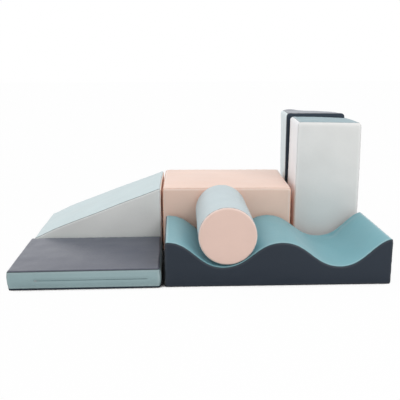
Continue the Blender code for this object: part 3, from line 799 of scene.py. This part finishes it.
# ---------------------------------------------------------------- fabric trial
def cubic_weights(x, count):
    """Rows of Catmull-Rom weights that read a line of count values at x from 0 to 1."""
    t = np.clip(x, 0, 1) * (count - 1)
    i = np.minimum(t.astype(int), count - 2)
    f = t - i
    w = np.zeros((len(x), count))
    rows = np.arange(len(x))
    for k, value in ((-1, (-f + 2 * f ** 2 - f ** 3) / 2), (0, (2 - 5 * f ** 2 + 3 * f ** 3) / 2),
                     (1, (f + 4 * f ** 2 - 3 * f ** 3) / 2), (2, (-f ** 2 + f ** 3) / 2)):
        np.add.at(w, (rows, np.clip(i + k, 0, count - 1)), value)
    return w


def plain_rise(s, t):
    """A crown without simulation: flat in the middle, falling to the seams."""
    return (1 - (2 * s - 1) ** 4) ** 1.2 * (1 - (2 * t - 1) ** 4) ** 1.2


def read_grid(values):
    """A function that reads a simulated grid of heights at (s, t), each from 0 to 1."""
    def rises(s, t):
        ws, wt = cubic_weights(s, values.shape[0]), cubic_weights(t, values.shape[1])
        return np.einsum("ki,kj,ij->k", ws, wt, values, optimize=True)
    return rises


def trial_grid(panel):
    """A coarse net of the panel's plain shape with its border on the seams."""
    m = panel.module
    if panel.run is not None:
        path = Path(m.edges, panel.run[0], panel.run[1], closed_circle=(panel.run[1] == 0))
        total_v = m.wide
        nu, nv = max(6, int(round(path.length / 0.019)) + 1), max(5, int(round(total_v / 0.019)) + 1)
        U, V = np.meshgrid(np.linspace(0, path.length, nu), np.linspace(0, total_v, nv), indexing="ij")
        c, n = path.at(U.ravel())
        out, e, cn, sn = across(V.ravel(), m)
        pts = m.world(c[:, 0] + n[:, 0] * out, c[:, 1] + n[:, 1] * out, e)
        nrm = m.direction(n[:, 0] * cn, n[:, 1] * cn, sn)
        return pts.reshape(nu, nv, 3), nrm.reshape(nu, nv, 3)
    edges = m.edges
    if len(edges) == 1:
        k = 18
        s = np.linspace(-1, 1, k)
        S, T = np.meshgrid(s, s, indexing="ij")
        rad = ROLLER_RADIUS - R + ARC
        P, Q = rad * S * np.sqrt(1 - T * T / 2), rad * T * np.sqrt(1 - S * S / 2)
    else:
        bottom, right, top, left = edges
        w = bottom.along[-1]
        tall = max(right.along[-1], left.along[-1])
        nu, nv = max(6, int(round(w / 0.019)) + 1), max(5, int(round(tall / 0.019)) + 1)
        f = np.linspace(0, 1, nu)
        bp = bottom.inset[0] + (bottom.inset[-1] - bottom.inset[0]) * f[:, None]
        ti = top.inset[::-1]
        tp = np.stack([np.interp(f, np.linspace(0, 1, len(ti)), ti[:, i]) for i in (0, 1)], -1)
        g = np.linspace(0, 1, nv)
        P = bp[:, None, 0] * (1 - g) + tp[:, None, 0] * g
        Q = bp[:, None, 1] * (1 - g) + tp[:, None, 1] * g
    e = np.full(P.shape, m.length if panel.far else 0.0)
    sign = 1.0 if panel.far else -1.0
    zero = np.zeros(P.shape)
    return m.world(P, Q, e), m.direction(zero, zero, zero + sign)


def run_trial(panels):
    """Lets a slightly oversize sheet of each panel blow out between its seams.

    Returns for each panel the share of the full crown at each net point."""
    nets = [trial_grid(p) for p in panels]
    verts, faces, pins, starts = [], [], [], []
    count = 0
    for pts, nrm in nets:
        nu, nv = pts.shape[:2]
        starts.append(count)
        verts.append(pts.reshape(-1, 3))
        c = cells_of(nu, nv).reshape(-1, 4)
        a, b, d = pts.reshape(-1, 3)[c[:, 0]], pts.reshape(-1, 3)[c[:, 1]], pts.reshape(-1, 3)[c[:, 3]]
        way = np.einsum("ij,ij->i", np.cross(b - a, d - a), nrm.reshape(-1, 3)[c[:, 0]]).sum()
        faces.append((c if way > 0 else c[:, ::-1]) + count)
        edge = np.zeros((nu, nv), bool)
        edge[[0, -1], :] = edge[:, [0, -1]] = True
        pins.append(np.flatnonzero(edge.ravel()) + count)
        count += nu * nv
    verts, faces, pins = np.concatenate(verts), np.concatenate(faces), np.concatenate(pins)
    mesh = bpy.data.meshes.new("fabric_trial")
    mesh.from_pydata(verts.tolist(), [], faces.tolist())
    ob = bpy.data.objects.new("fabric_trial", mesh)
    bpy.context.scene.collection.objects.link(ob)
    group = ob.vertex_groups.new(name="seams")
    group.add(pins.tolist(), 1.0, "REPLACE")
    cloth = ob.modifiers.new("cloth", "CLOTH")
    s = cloth.settings
    s.vertex_group_mass = "seams"
    s.quality = 6
    s.mass = 0.35
    s.tension_stiffness = s.compression_stiffness = 25
    s.shear_stiffness = 12
    s.bending_stiffness = 0.8
    s.air_damping = 4.0
    s.use_pressure = True
    s.uniform_pressure_force = 4.0
    s.shrink_min = -0.012
    s.effector_weights.gravity = 0.0
    cloth.collision_settings.use_collision = False
    cloth.collision_settings.use_self_collision = False
    cloth.point_cache.frame_start, cloth.point_cache.frame_end = 1, 20
    scene = bpy.context.scene
    for f in range(1, 21):
        scene.frame_set(f)
    ev = ob.evaluated_get(bpy.context.evaluated_depsgraph_get())
    after = np.empty(len(verts) * 3, np.float32)
    ev.data.vertices.foreach_get("co", after)
    after = after.reshape(-1, 3).astype(float)
    out = []
    for (pts, nrm), start in zip(nets, starts):
        n = pts.shape[0] * pts.shape[1]
        rise = np.einsum("ij,ij->i", after[start:start + n] - verts[start:start + n], nrm.reshape(-1, 3))
        out.append(np.round(rise.reshape(pts.shape[:2]), 5))
    bpy.data.objects.remove(ob)
    bpy.data.meshes.remove(mesh)
    scene.frame_set(1)
    return out


def softened(grid, rounds):
    g = grid.copy()
    for _ in range(rounds):
        p = np.pad(g, 1, mode="reflect")
        g = (p[1:-1, 1:-1] * 4 + (p[:-2, 1:-1] + p[2:, 1:-1] + p[1:-1, :-2] + p[1:-1, 2:]) * 2
             + p[:-2, :-2] + p[2:, 2:] + p[:-2, 2:] + p[2:, :-2]) / 16
        g[[0, -1], :] = 0.0
        g[:, [0, -1]] = 0.0
    return g


# ---------------------------------------------------------------- materials
class Nodes:
    """Small helper to write node trees in few lines."""

    def __init__(self, name):
        self.m = bpy.data.materials.new(name)
        self.m.use_nodes = True
        self.t = self.m.node_tree
        self.shader = self.t.nodes["Principled BSDF"]

    def add(self, kind, ins=None, **props):
        n = self.t.nodes.new("ShaderNode" + kind)
        for k, v in props.items():
            setattr(n, k, v)
        for k, v in (ins or {}).items():
            if isinstance(v, bpy.types.NodeSocket):
                self.t.links.new(v, n.inputs[k])
            else:
                n.inputs[k].default_value = v
        return n

    def math(self, op, a, b=0.0, clamp=False):
        return self.add("Math", {0: a, 1: b}, operation=op, use_clamp=clamp).outputs[0]

    def mix(self, fac, a, b, blend="MIX"):
        n = self.add("Mix", data_type="RGBA", blend_type=blend)
        for i, v in ((0, fac), (6, a), (7, b)):
            if isinstance(v, bpy.types.NodeSocket):
                self.t.links.new(v, n.inputs[i])
            else:
                n.inputs[i].default_value = v
        return n.outputs[2]

    def span(self, value, a, b, c=0.0, d=1.0):
        return self.add("MapRange", {"Value": value, "From Min": a, "From Max": b, "To Min": c, "To Max": d}).outputs[0]

    def link(self, a, socket):
        self.t.links.new(a, self.shader.inputs[socket])


def linear(rgb):
    return tuple(c / 12.92 if c <= 0.04045 else ((c + 0.055) / 1.055) ** 2.4 for c in rgb) + (1.0,)


def vinyl(name, rgb, rough=0.46, specular=0.5, seam_dark=0.6, edge=0.20, sheen=0.15, tint=(1.0, 1.0, 1.0), grain=1.0, highlight_reach=0.015, sewn=0.0030):
    """Coated cloth: a fine pebbled grain, slow changes of tone and gloss, painted
    shade as a dark line in each seam and a painted highlight, paler vinyl over the sewn edge beside it."""
    n = Nodes(name)
    where = n.add("TexCoord").outputs["Object"]
    seam = n.add("Attribute", attribute_name="seam_gap").outputs["Fac"]
    along = n.add("Attribute", attribute_name="seam_place").outputs["Fac"]
    slow = n.add("TexNoise", {"Vector": where, "Scale": 4.0, "Detail": 2.0, "Roughness": 0.5}).outputs["Fac"]
    mottle = n.add("TexNoise", {"Vector": where, "Scale": 46.0, "Detail": 3.0, "Roughness": 0.6}).outputs["Fac"]
    pebble = n.add("TexVoronoi", {"Vector": where, "Scale": 620.0, "Randomness": 0.9}, feature="SMOOTH_F1").outputs["Distance"]
    pores = n.add("TexNoise", {"Vector": where, "Scale": 1500.0, "Detail": 1.0}).outputs["Fac"]
    base = linear(rgb)
    light = tuple(min(1.0, c * 1.025) for c in base[:3]) + (1.0,)
    dark = tuple(c * 0.97 for c in base[:3]) + (1.0,)
    tone = n.mix(n.span(slow, 0.35, 0.65), dark, light)
    tone = n.mix(n.math("MULTIPLY", n.span(mottle, 0.40, 0.70), 0.06), tone, (*[c * 0.8 for c in base[:3]], 1.0))
    valley = n.math("MULTIPLY", n.span(pebble, 0.55, 0.95), 0.16 * grain)
    tone = n.mix(valley, tone, (*[c * 0.72 for c in base[:3]], 1.0))
    # painted highlight: paler vinyl over the rounded edge beside each seam, uneven along it; and painted shade: the
    # seam itself dark
    highlight_band = n.math("MULTIPLY", n.span(seam, 0.0018, 0.0040, 0.0, 1.0), n.span(seam, 0.006, highlight_reach, 1.0, 0.0))
    highlight_band = n.math("MULTIPLY", highlight_band, n.span(mottle, 0.30, 0.75, edge * 0.6, edge * 1.5))
    tone = n.mix(highlight_band, tone, (*[c * 0.62 + 0.36 for c in base[:3]], 1.0))
    # painted shade: the base colour darkened down in each seam's groove, over the depth given by sewn, as strong as
    # seam_dark
    seam_shade = n.span(seam, 0.0006, sewn, 1.0, 0.0)
    tone = n.mix(n.math("MULTIPLY", seam_shade, seam_dark), tone, (*[c * 0.16 for c in base[:3]], 1.0))
    n.link(tone, "Base Color")
    gloss = n.math("ADD", n.span(slow, 0.3, 0.7, rough - 0.02, rough + 0.03), n.span(mottle, 0.3, 0.7, -0.02, 0.02))
    gloss = n.math("ADD", gloss, n.math("MULTIPLY", highlight_band, -0.25), clamp=True)
    n.link(gloss, "Roughness")
    n.shader.inputs["Specular IOR Level"].default_value = specular
    n.shader.inputs["IOR"].default_value = 1.5
    n.shader.inputs["Sheen Weight"].default_value = sheen
    n.shader.inputs["Sheen Roughness"].default_value = 0.30
    n.shader.inputs["Sheen Tint"].default_value = (*tint, 1.0)
    # relief: stitch puckers beside the seam, soft dimples, pebble grain
    beat = n.add("TexNoise", {"Vector": where, "Scale": 30.0, "Detail": 0.0}).outputs["Fac"]
    turn = n.math("ADD", n.math("MULTIPLY", along, 2 * math.pi / 0.0085), n.math("MULTIPLY", beat, 9.0))
    pucker = n.math("MULTIPLY", n.math("SINE", turn), n.span(seam, 0.0015, 0.013, 1.0, 0.0))
    b1 = n.add("Bump", {"Strength": 0.50, "Distance": 0.0006, "Height": pucker})
    dimple = n.add("TexNoise", {"Vector": where, "Scale": 16.0, "Detail": 2.0, "Roughness": 0.45}).outputs["Fac"]
    b2 = n.add("Bump", {"Strength": 0.16, "Distance": 0.0040, "Height": dimple, "Normal": b1.outputs[0]})
    fine = n.math("ADD", n.math("MULTIPLY", pebble, -0.7), n.math("MULTIPLY", pores, 0.3))
    b3 = n.add("Bump", {"Strength": 0.30 * grain, "Distance": 0.00035, "Height": fine, "Normal": b2.outputs[0]})
    n.link(b3.outputs[0], "Normal")
    return n.m


# In each vinyl, edge and the reach of its paler band set the painted highlight along the seams' rounded edges: the pale
# rim of the wave's aqua, the light pillar's white rim, the block's peach edges and the ring round each roller end.
VINYL = {
    "slate": vinyl("vinyl_slate", (0.104, 0.152, 0.205), rough=0.42, specular=0.42, edge=0.03, sheen=0.25, tint=(0.86, 0.92, 1.0)),
    "ink": vinyl("vinyl_ink", (0.126, 0.184, 0.244), rough=0.46, specular=0.3, edge=0.02, sheen=0.12,
                 tint=(0.86, 0.92, 1.0)),
    # grey: a lighter, glossier copy of the slate vinyl for the tops of the mat and the dark pillar; its lighter colour
    # is painted reflection of the bright surround seen at a grazing angle
    "grey": vinyl("vinyl_grey", (0.175, 0.200, 0.290), rough=0.31, specular=1.0, edge=0.03, sheen=0.28,
                  tint=(0.82, 0.90, 1.0), seam_dark=0.85, sewn=0.0045),
    "aqua": vinyl("vinyl_aqua", (0.442, 0.657, 0.698), rough=0.42, edge=0.40, sheen=0.31),
    "band": vinyl("vinyl_band", (0.560, 0.655, 0.668), rough=0.42, edge=0.15, sheen=0.10),
    "peach": vinyl("vinyl_peach", (0.930, 0.800, 0.733), rough=0.44, seam_dark=0.12, edge=0.45, sheen=0.42),
    # deep: a deeper, more orange copy of the peach for the block's ends: painted shade and warm bounce light of the
    # narrow gaps beside them
    "deep": vinyl("vinyl_peach_side", (0.942, 0.728, 0.605), rough=0.46, seam_dark=0.20, edge=0.20, sheen=0.05),
    "blush": vinyl("vinyl_peach_end", (0.885, 0.768, 0.718), rough=0.44, seam_dark=0.45, edge=0.70, sheen=0.10, highlight_reach=0.013),
    "mint": vinyl("vinyl_mint", (0.755, 0.820, 0.832), rough=0.44, seam_dark=0.85, sheen=0.12),
    "white": vinyl("vinyl_white", (0.885, 0.890, 0.880), rough=0.46, seam_dark=0.85, edge=0.30, sheen=0.10),
    "mint_roll": vinyl("vinyl_mint_roll", (0.728, 0.785, 0.802), rough=0.44, seam_dark=0.85, sheen=0.12),
    # mint_tall: a lighter copy of the mint for the dark pillar's left face: painted light on the side lit from the left
    "mint_tall": vinyl("vinyl_mint_tall", (0.835, 0.888, 0.905), rough=0.44, seam_dark=0.85, sheen=0.12),
    "aqua_tall": vinyl("vinyl_aqua_tall", (0.408, 0.565, 0.610), rough=0.42, edge=0.40, sheen=0.31),
    "chalk": vinyl("vinyl_chalk", (0.870, 0.869, 0.861), rough=0.46, seam_dark=0.20, edge=0.60, sheen=0.10, highlight_reach=0.020),
    # pale: a lighter copy of the pillar's white for its left face: painted light on the side that the light falls on
    # most
    "pale": vinyl("vinyl_pale", (0.940, 0.945, 0.955), rough=0.46, seam_dark=0.15, sheen=0.10, edge=0.40),
    # cream: warmer and lighter than the white: painted peach bounce light from the block beside the wedge's end
    "cream": vinyl("vinyl_cream", (0.955, 0.948, 0.925), rough=0.46, seam_dark=0.30, sheen=0.10),
}


def foam_material():
    n = Nodes("cut_foam")
    where = n.add("TexCoord").outputs["Object"]
    cells = n.add("TexVoronoi", {"Vector": where, "Scale": 420.0}, feature="DISTANCE_TO_EDGE").outputs["Distance"]
    tone = n.add("TexNoise", {"Vector": where, "Scale": 9.0, "Detail": 3.0}).outputs["Fac"]
    base = n.mix(tone, (0.74, 0.76, 0.70, 1.0), (0.84, 0.85, 0.80, 1.0))
    n.link(n.mix(n.span(cells, 0.0, 0.12, 0.5, 0.0), base, (0.45, 0.46, 0.42, 1.0)), "Base Color")
    n.link(n.span(tone, 0.3, 0.7, 0.88, 0.98), "Roughness")
    n.link(n.add("Bump", {"Strength": 0.7, "Distance": 0.0008, "Height": cells}).outputs[0], "Normal")
    return n.m


def slider_material():
    n = Nodes("slider_enamel")
    where = n.add("TexCoord").outputs["Object"]
    tone = n.add("TexNoise", {"Vector": where, "Scale": 700.0, "Detail": 2.0}).outputs["Fac"]
    n.link(n.mix(tone, (0.34, 0.38, 0.39, 1.0), (0.42, 0.46, 0.47, 1.0)), "Base Color")
    n.link(n.span(tone, 0.3, 0.7, 0.28, 0.42), "Roughness")
    n.shader.inputs["Metallic"].default_value = 0.6
    n.link(n.add("Bump", {"Strength": 0.15, "Distance": 0.0001, "Height": tone}).outputs[0], "Normal")
    return n.m


def zip_material(name, rgb):
    """Woven tape and nylon coil in one colour."""
    n = Nodes(name)
    where = n.add("TexCoord").outputs["Object"]
    weave = n.add("TexNoise", {"Vector": where, "Scale": 1200.0, "Detail": 1.0}).outputs["Fac"]
    tone = n.add("TexNoise", {"Vector": where, "Scale": 30.0, "Detail": 2.0}).outputs["Fac"]
    base = linear(rgb)
    body = n.mix(tone, (*[c * 0.88 for c in base[:3]], 1.0), (*[min(1.0, c * 1.08) for c in base[:3]], 1.0))
    n.link(n.mix(n.math("MULTIPLY", weave, 0.4), body, (*[c * 0.6 for c in base[:3]], 1.0)), "Base Color")
    n.link(n.span(weave, 0.3, 0.7, 0.5, 0.66), "Roughness")
    n.link(n.add("Bump", {"Strength": 0.4, "Distance": 0.0002, "Height": weave}).outputs[0], "Normal")
    return n.m


# ---------------------------------------------------------------- the covers
def make_mesh(name, points, quads, triangles):
    mesh = bpy.data.meshes.new(name)
    nq, nt = len(quads), len(triangles)
    mesh.vertices.add(len(points))
    mesh.vertices.foreach_set("co", np.asarray(points, np.float32).ravel())
    loops = np.concatenate([quads.ravel(), triangles.ravel()]).astype(np.int32)
    mesh.loops.add(len(loops))
    mesh.loops.foreach_set("vertex_index", loops)
    starts = np.concatenate([np.arange(nq) * 4, nq * 4 + np.arange(nt) * 3]).astype(np.int32)
    mesh.polygons.add(nq + nt)
    mesh.polygons.foreach_set("loop_start", starts)
    mesh.update(calc_edges=True)
    mesh.validate()
    mesh.shade_smooth()
    return mesh


def build_cover(panel, rises):
    if panel.run is not None:
        g = wrap_grid(panel)
        outer, nrm, gap, place = wrap_points(panel, g, False, rises)
        inner, _, gap_in, place_in = wrap_points(panel, g, True, rises)
    else:
        g = side_grid(panel)
        outer, nrm, gap, place = side_points(panel, g, False, rises)
        inner, _, gap_in, place_in = side_points(panel, g, True, rises)
    quads, tris = g.cells, g.triangles
    # which way round the cells go
    mid = quads[len(quads) // 2:len(quads) // 2 + 40]
    way = np.cross(outer[mid[:, 1]] - outer[mid[:, 0]], outer[mid[:, 3]] - outer[mid[:, 0]])
    if np.einsum("ij,ij->i", way, nrm[mid[:, 0]]).sum() < 0:
        quads = quads[:, ::-1]
    if len(tris):
        way = np.cross(outer[tris[:, 1]] - outer[tris[:, 0]], outer[tris[:, 2]] - outer[tris[:, 0]])
        if np.einsum("ij,ij->i", way, nrm[tris[:, 1]]).sum() < 0:
            tris = tris[:, ::-1]
    n = len(outer)
    # open edges of the outer side, which get a wall to the inner side
    both = np.concatenate([quads[:, [0, 1]], quads[:, [1, 2]], quads[:, [2, 3]], quads[:, [3, 0]],
                           tris[:, [0, 1]], tris[:, [1, 2]], tris[:, [2, 0]]])
    code, back = both[:, 0] * n + both[:, 1], both[:, 1] * n + both[:, 0]
    rim = both[~np.isin(code, back)]
    walls = np.stack([rim[:, 1], rim[:, 0], rim[:, 0] + n, rim[:, 1] + n], -1)
    points = np.concatenate([outer, inner])
    points = settle(panel.module, points)
    base = panel.node.endswith("base_panel")
    if base:
        points[:, 2] = np.maximum(points[:, 2], 0.0)
    elif panel.module.name != "roller":
        points[:, 2] = np.maximum(points[:, 2], 0.0001)
    all_quads = np.concatenate([quads, quads[:, ::-1] + n, walls])
    all_tris = np.concatenate([tris, tris[:, ::-1] + n])
    used = np.zeros(2 * n, bool)
    used[all_quads.ravel()] = True
    used[all_tris.ravel()] = True
    new = np.cumsum(used) - 1
    mesh = make_mesh(panel.name, points[used], new[all_quads], new[all_tris])
    for name, a, b in (("seam_gap", gap, gap_in), ("seam_place", place, place_in)):
        layer = mesh.attributes.new(name, "FLOAT", "POINT")
        layer.data.foreach_set("value", np.concatenate([a, b])[used].astype(np.float32))
    mesh.materials.append(VINYL[panel.colour])
    ob = bpy.data.objects.new(panel.name, mesh)
    bpy.context.scene.collection.objects.link(ob)
    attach(ob, panel.module.name)
    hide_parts(panel.node)
    return ob


shaped = [p for p in PANELS if p.crown > 0]
rises_of = {p.node: plain_rise for p in PANELS}
for p, grid in zip(shaped, run_trial(shaped)):
    swell = softened(grid, 6)
    full = max(float(np.percentile(swell, 97)), 1e-6)
    wrinkle = np.clip(grid - softened(grid, 2), -0.0015, 0.0015)
    rises_of[p.node] = read_grid(np.clip(swell / full, -0.05, 1.15) + 0.8 * wrinkle / p.crown * 0.25)
for p in PANELS:
    build_cover(p, rises_of[p.node])

# ---------------------------------------------------------------- foam cores
def build_core(name, module, material):
    """The foam out of true as its cover is, and a little slimmer than its solid."""
    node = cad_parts[name + "_foam"]
    bm = bmesh.new()
    bm.from_mesh(node.data)
    bmesh.ops.remove_doubles(bm, verts=bm.verts, dist=0.00002)
    bmesh.ops.triangulate(bm, faces=bm.faces)
    for _ in range(5):
        long = [e for e in bm.edges if e.calc_length() > 0.065]
        if not long:
            break
        bmesh.ops.subdivide_edges(bm, edges=long, cuts=1)
        bmesh.ops.triangulate(bm, faces=[f for f in bm.faces if len(f.verts) > 3])
    bmesh.ops.recalc_face_normals(bm, faces=bm.faces)
    bm.normal_update()
    shrink = 0.0032 if name == "wave" else 0.0012     # facets cross the hollow of a trough
    pts = np.array([v.co - v.normal * shrink for v in bm.verts])
    if name == "mat":               # clear of the band where that stands out less
        own = module.own(pts)
        pts[:, 1] += np.clip(0.003 - own[:, 1], 0.0, 0.02)
        pts[:, 0] += np.clip(0.003 - own[:, 0], 0.0, 0.02)
    if name == "wave":              # and clear of the dent in its cover
        own = module.own(pts)
        near = np.exp(-((own[:, 0] - 1.06) / 0.10) ** 2 / 2 - ((own[:, 1] - 0.56) / 0.08) ** 2 / 2)
        pts[:, 2] -= 0.016 * near * smooth(own[:, 2], 0.05, 0.09)
    pts = settle(module, pts)
    for v, p in zip(bm.verts, pts):
        v.co = p
    mesh = bpy.data.meshes.new(name + "_foam_core")
    bm.to_mesh(mesh)
    bm.free()
    mesh.shade_smooth()
    mesh.set_sharp_from_angle(angle=math.radians(40))
    mesh.materials.append(material)
    ob = bpy.data.objects.new(name + "_foam_core", mesh)
    bpy.context.scene.collection.objects.link(ob)
    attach(ob, name)
    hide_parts(name + "_foam")


# ---------------------------------------------------------------- zips
def build_zip(name, module, material):
    """Two woven tapes behind the slit and the closed coil in it: hooked teeth
    that come in turn from either side, over a cord along each row."""
    middle, along, across_, out, length = ZIPS[name]
    middle, along, across_, out = (np.array(v, float) for v in (middle, along, across_, out))
    points, quads = [], []
    count = 0

    def add(sections, closed=True):
        """A tube through rings of equal size, with capped ends."""
        nonlocal count
        rings, sides = len(sections), len(sections[0])
        base = count
        for ring in sections:
            points.extend(ring)
        count += rings * sides
        for i in range(rings - 1):
            for j in range(sides):
                k = (j + 1) % sides
                quads.append((base + i * sides + j, base + i * sides + k, base + (i + 1) * sides + k, base + (i + 1) * sides + j))
        for i in range(sides // 2 - 1):     # caps
            a, b, c, d = i, i + 1, sides - 2 - i, sides - 1 - i
            quads.append((base + d, base + c, base + b, base + a))
            t = base + (rings - 1) * sides
            quads.append((t + a, t + b, t + c, t + d))

    half = length / 2 - 0.0004
    deep = -(SKIN + 0.0004)
    # tapes: thin strips with a thicker edge beside the coil and a woven wave
    for side in (-1, 1):
        rows = []
        for s in np.linspace(-half, half, max(24, int(length / 0.012))):
            w = 0.00004 * math.sin(s * 900.0)
            b = [0.0002, 0.0020, 0.0060, 0.0104]
            top = [deep - 0.00002, deep - 0.00002, deep - 0.0001 + w, deep - 0.00012 + w]
            low = [deep - 0.00040] * 4
            rows.append([(s, side * x, z) for x, z in zip(b, top)] + [(s, side * x, z) for x, z in zip(b[::-1], low)])
        add(rows)
    # teeth: one bent bar each, in turn from the two sides
    pitch = 0.0024
    n = int(2 * (half - 0.001) / pitch)
    ring = [(math.cos(a), math.sin(a)) for a in np.linspace(0, 2 * math.pi, 7)[:-1]]
    for i in range(n):
        s = -half + 0.001 + (i + 0.5) * pitch
        side = 1 if i % 2 else -1
        rows = []
        for b, rise, fat in ((0.00175, 0.0, 0.55), (0.0013, 0.00035, 0.95), (-0.0001, 0.00048, 1.0), (-0.0008, 0.00030, 1.2),
                             (-0.00105, -0.0001, 0.6)):
            rows.append([(s + 0.00052 * fat * c, side * b, deep + 0.00042 + rise + 0.00034 * fat * v) for c, v in ring])
        add(rows)
    flat = np.array(points)
    pts = middle + flat[:, :1] * along + flat[:, 1:2] * across_ + flat[:, 2:] * out
    pts = module.place(pts[:, 0], pts[:, 1], pts[:, 2])
    mesh = make_mesh(name + "_zip_chain", pts, np.array(quads), np.zeros((0, 3), int))
    bm = bmesh.new()
    bm.from_mesh(mesh)
    bmesh.ops.recalc_face_normals(bm, faces=bm.faces)
    bm.to_mesh(mesh)
    bm.free()
    mesh.set_sharp_from_angle(angle=math.radians(50))
    mesh.materials.append(material)
    ob = bpy.data.objects.new(name + "_zip_chain", mesh)
    bpy.context.scene.collection.objects.link(ob)
    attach(ob, name)
    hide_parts(name + "_zip")


foam, slider = foam_material(), slider_material()
nylon = {"mat": zip_material("zip_aqua", (0.58, 0.71, 0.73)), "wedge": zip_material("zip_pale", (0.78, 0.79, 0.79)),
         "block": zip_material("zip_peach", (0.84, 0.74, 0.68)), "wave": zip_material("zip_slate", (0.20, 0.225, 0.26))}
for name, like in (("roller", "block"), ("light_pillar", "wedge"), ("dark_pillar", "wave")):
    nylon[name] = nylon[like]
for name, module in MODULES.items():
    build_core(name, module, foam)
    build_zip(name, module, nylon[name])
for name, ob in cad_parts.items():
    if name.endswith("_zip_slider"):
        for s in ob.material_slots:
            s.material = slider
        if not ob.material_slots:
            ob.data.materials.append(slider)

# ---------------------------------------------------------------- stage
stage = Nodes("pale_floor")
stage.shader.inputs["Base Color"].default_value = (0.74, 0.74, 0.74, 1.0)
stage.shader.inputs["Roughness"].default_value = 0.95
stage.shader.inputs["Specular IOR Level"].default_value = 0.1
# the open floor glows white to the camera, up to the backdrop's white; where the ambient occlusion finds a narrow gap
# between the modules, the camera sees the floor painted near-black instead: painted shade for the little light that
# reaches the bottom of those gaps
near = stage.add("AmbientOcclusion", {"Distance": 0.15}, samples=12).outputs["AO"]
lit = stage.span(near, 0.36, 0.50, 0.0, 1.0)
seen = stage.add("LightPath").outputs["Is Camera Ray"]
glow = stage.add("Emission", {"Color": (1.0, 1.0, 1.0, 1.0), "Strength": 1.0})
painted_gap_shade = stage.math("MULTIPLY", seen, stage.math("SUBTRACT", 1.0, lit))
# painted shade: a near-black floor colour for camera rays in the gaps
stage.link(stage.mix(painted_gap_shade, (0.74, 0.74, 0.74, 1.0), (0.02, 0.02, 0.022, 1.0)), "Base Color")
fade = stage.add("MixShader", {0: stage.math("MULTIPLY", stage.math("MULTIPLY", seen, lit), 0.97)})
stage.t.links.new(stage.shader.outputs[0], fade.inputs[1])
stage.t.links.new(glow.outputs[0], fade.inputs[2])
stage.t.links.new(fade.outputs[0], stage.t.nodes["Material Output"].inputs["Surface"])
bpy.ops.mesh.primitive_plane_add(size=60.0, location=(0.0, 0.0, -0.0006))
floor = bpy.context.object
floor.name = "floor"
floor.data.materials.append(stage.m)

# a bright tent all round, a little dimmer on the side that the camera is on
world = bpy.data.worlds.new("studio")
bpy.context.scene.world = world
world.use_nodes = True
wt = world.node_tree
sky = wt.nodes["Background"]
geo = wt.nodes.new("ShaderNodeTexCoord")
split = wt.nodes.new("ShaderNodeSeparateXYZ")
wt.links.new(geo.outputs["Generated"], split.inputs[0])


def world_span(socket, a, b, c, d):
    n = wt.nodes.new("ShaderNodeMapRange")
    for k, v in (("From Min", a), ("From Max", b), ("To Min", c), ("To Max", d)):
        n.inputs[k].default_value = v
    wt.links.new(split.outputs[socket], n.inputs["Value"])
    return n.outputs[0]


def world_times(a, b):
    n = wt.nodes.new("ShaderNodeMath")
    n.operation = "MULTIPLY"
    wt.links.new(a, n.inputs[0])
    wt.links.new(b, n.inputs[1])
    return n.outputs[0]


level = world_times(world_times(world_span("Z", 0.0, 0.9, 1.0, 0.95), world_span("Y", -0.9, 0.2, 0.70, 1.0)),
                    world_span("X", -0.9, 0.3, 1.30, 1.0))
wt.links.new(level, sky.inputs["Strength"])
sky.inputs["Color"].default_value = (1.0, 1.0, 1.0, 1.0)
plain = wt.nodes.new("ShaderNodeBackground")
plain.inputs["Color"].default_value = (1.0, 1.0, 1.0, 1.0)
plain.inputs["Strength"].default_value = 1.0
seen = wt.nodes.new("ShaderNodeLightPath")
pick = wt.nodes.new("ShaderNodeMixShader")
wt.links.new(seen.outputs["Is Camera Ray"], pick.inputs[0])
wt.links.new(sky.outputs[0], pick.inputs[1])
wt.links.new(plain.outputs[0], pick.inputs[2])
wt.links.new(pick.outputs[0], wt.nodes["World Output"].inputs["Surface"])


def softbox(name, at, aim, size, power):
    lamp = bpy.data.lights.new(name, "AREA")
    lamp.shape = "RECTANGLE"
    lamp.size, lamp.size_y = size
    lamp.energy = power
    ob = bpy.data.objects.new(name, lamp)
    ob.location = at
    ob.rotation_euler = (Vector(aim) - Vector(at)).to_track_quat("-Z", "Y").to_euler()
    bpy.context.scene.collection.objects.link(ob)
    return ob


softbox("front_key", (2.3, -3.0, 2.7), (0.0, 0.0, 0.2), (2.0, 1.6), 38.0)

# ---------------------------------------------------------------- camera
yaw, pitch, roll = math.radians(1.71), math.radians(13.14), math.radians(0.22)
fwd = Vector((math.sin(yaw) * math.cos(pitch), math.cos(yaw) * math.cos(pitch), -math.sin(pitch)))
right = Vector((math.cos(yaw), -math.sin(yaw), 0.0))
down = fwd.cross(right)
r2 = math.cos(roll) * right + math.sin(roll) * down
d2 = -math.sin(roll) * right + math.cos(roll) * down
cam = bpy.data.cameras.new("photo_view")
cam.sensor_width = 36.0
cam.lens = 600.8 / 400.0 * 36.0
cam.clip_end = 200.0
view = bpy.data.objects.new("photo_view", cam)
rot = Matrix((r2, -d2, -fwd)).transposed()
view.matrix_world = Matrix.Translation((0.095 + SET_X, -2.998 + SET_Y, 1.172)) @ rot.to_4x4()
bpy.context.scene.collection.objects.link(view)
bpy.context.scene.camera = view
bpy.context.scene.view_settings.view_transform = "Standard"
bpy.context.scene.view_settings.look = "None"

# the narrow gaps are lit by light that has gone to and fro many times
bpy.context.scene.cycles.max_bounces = 18
bpy.context.scene.cycles.diffuse_bounces = 14
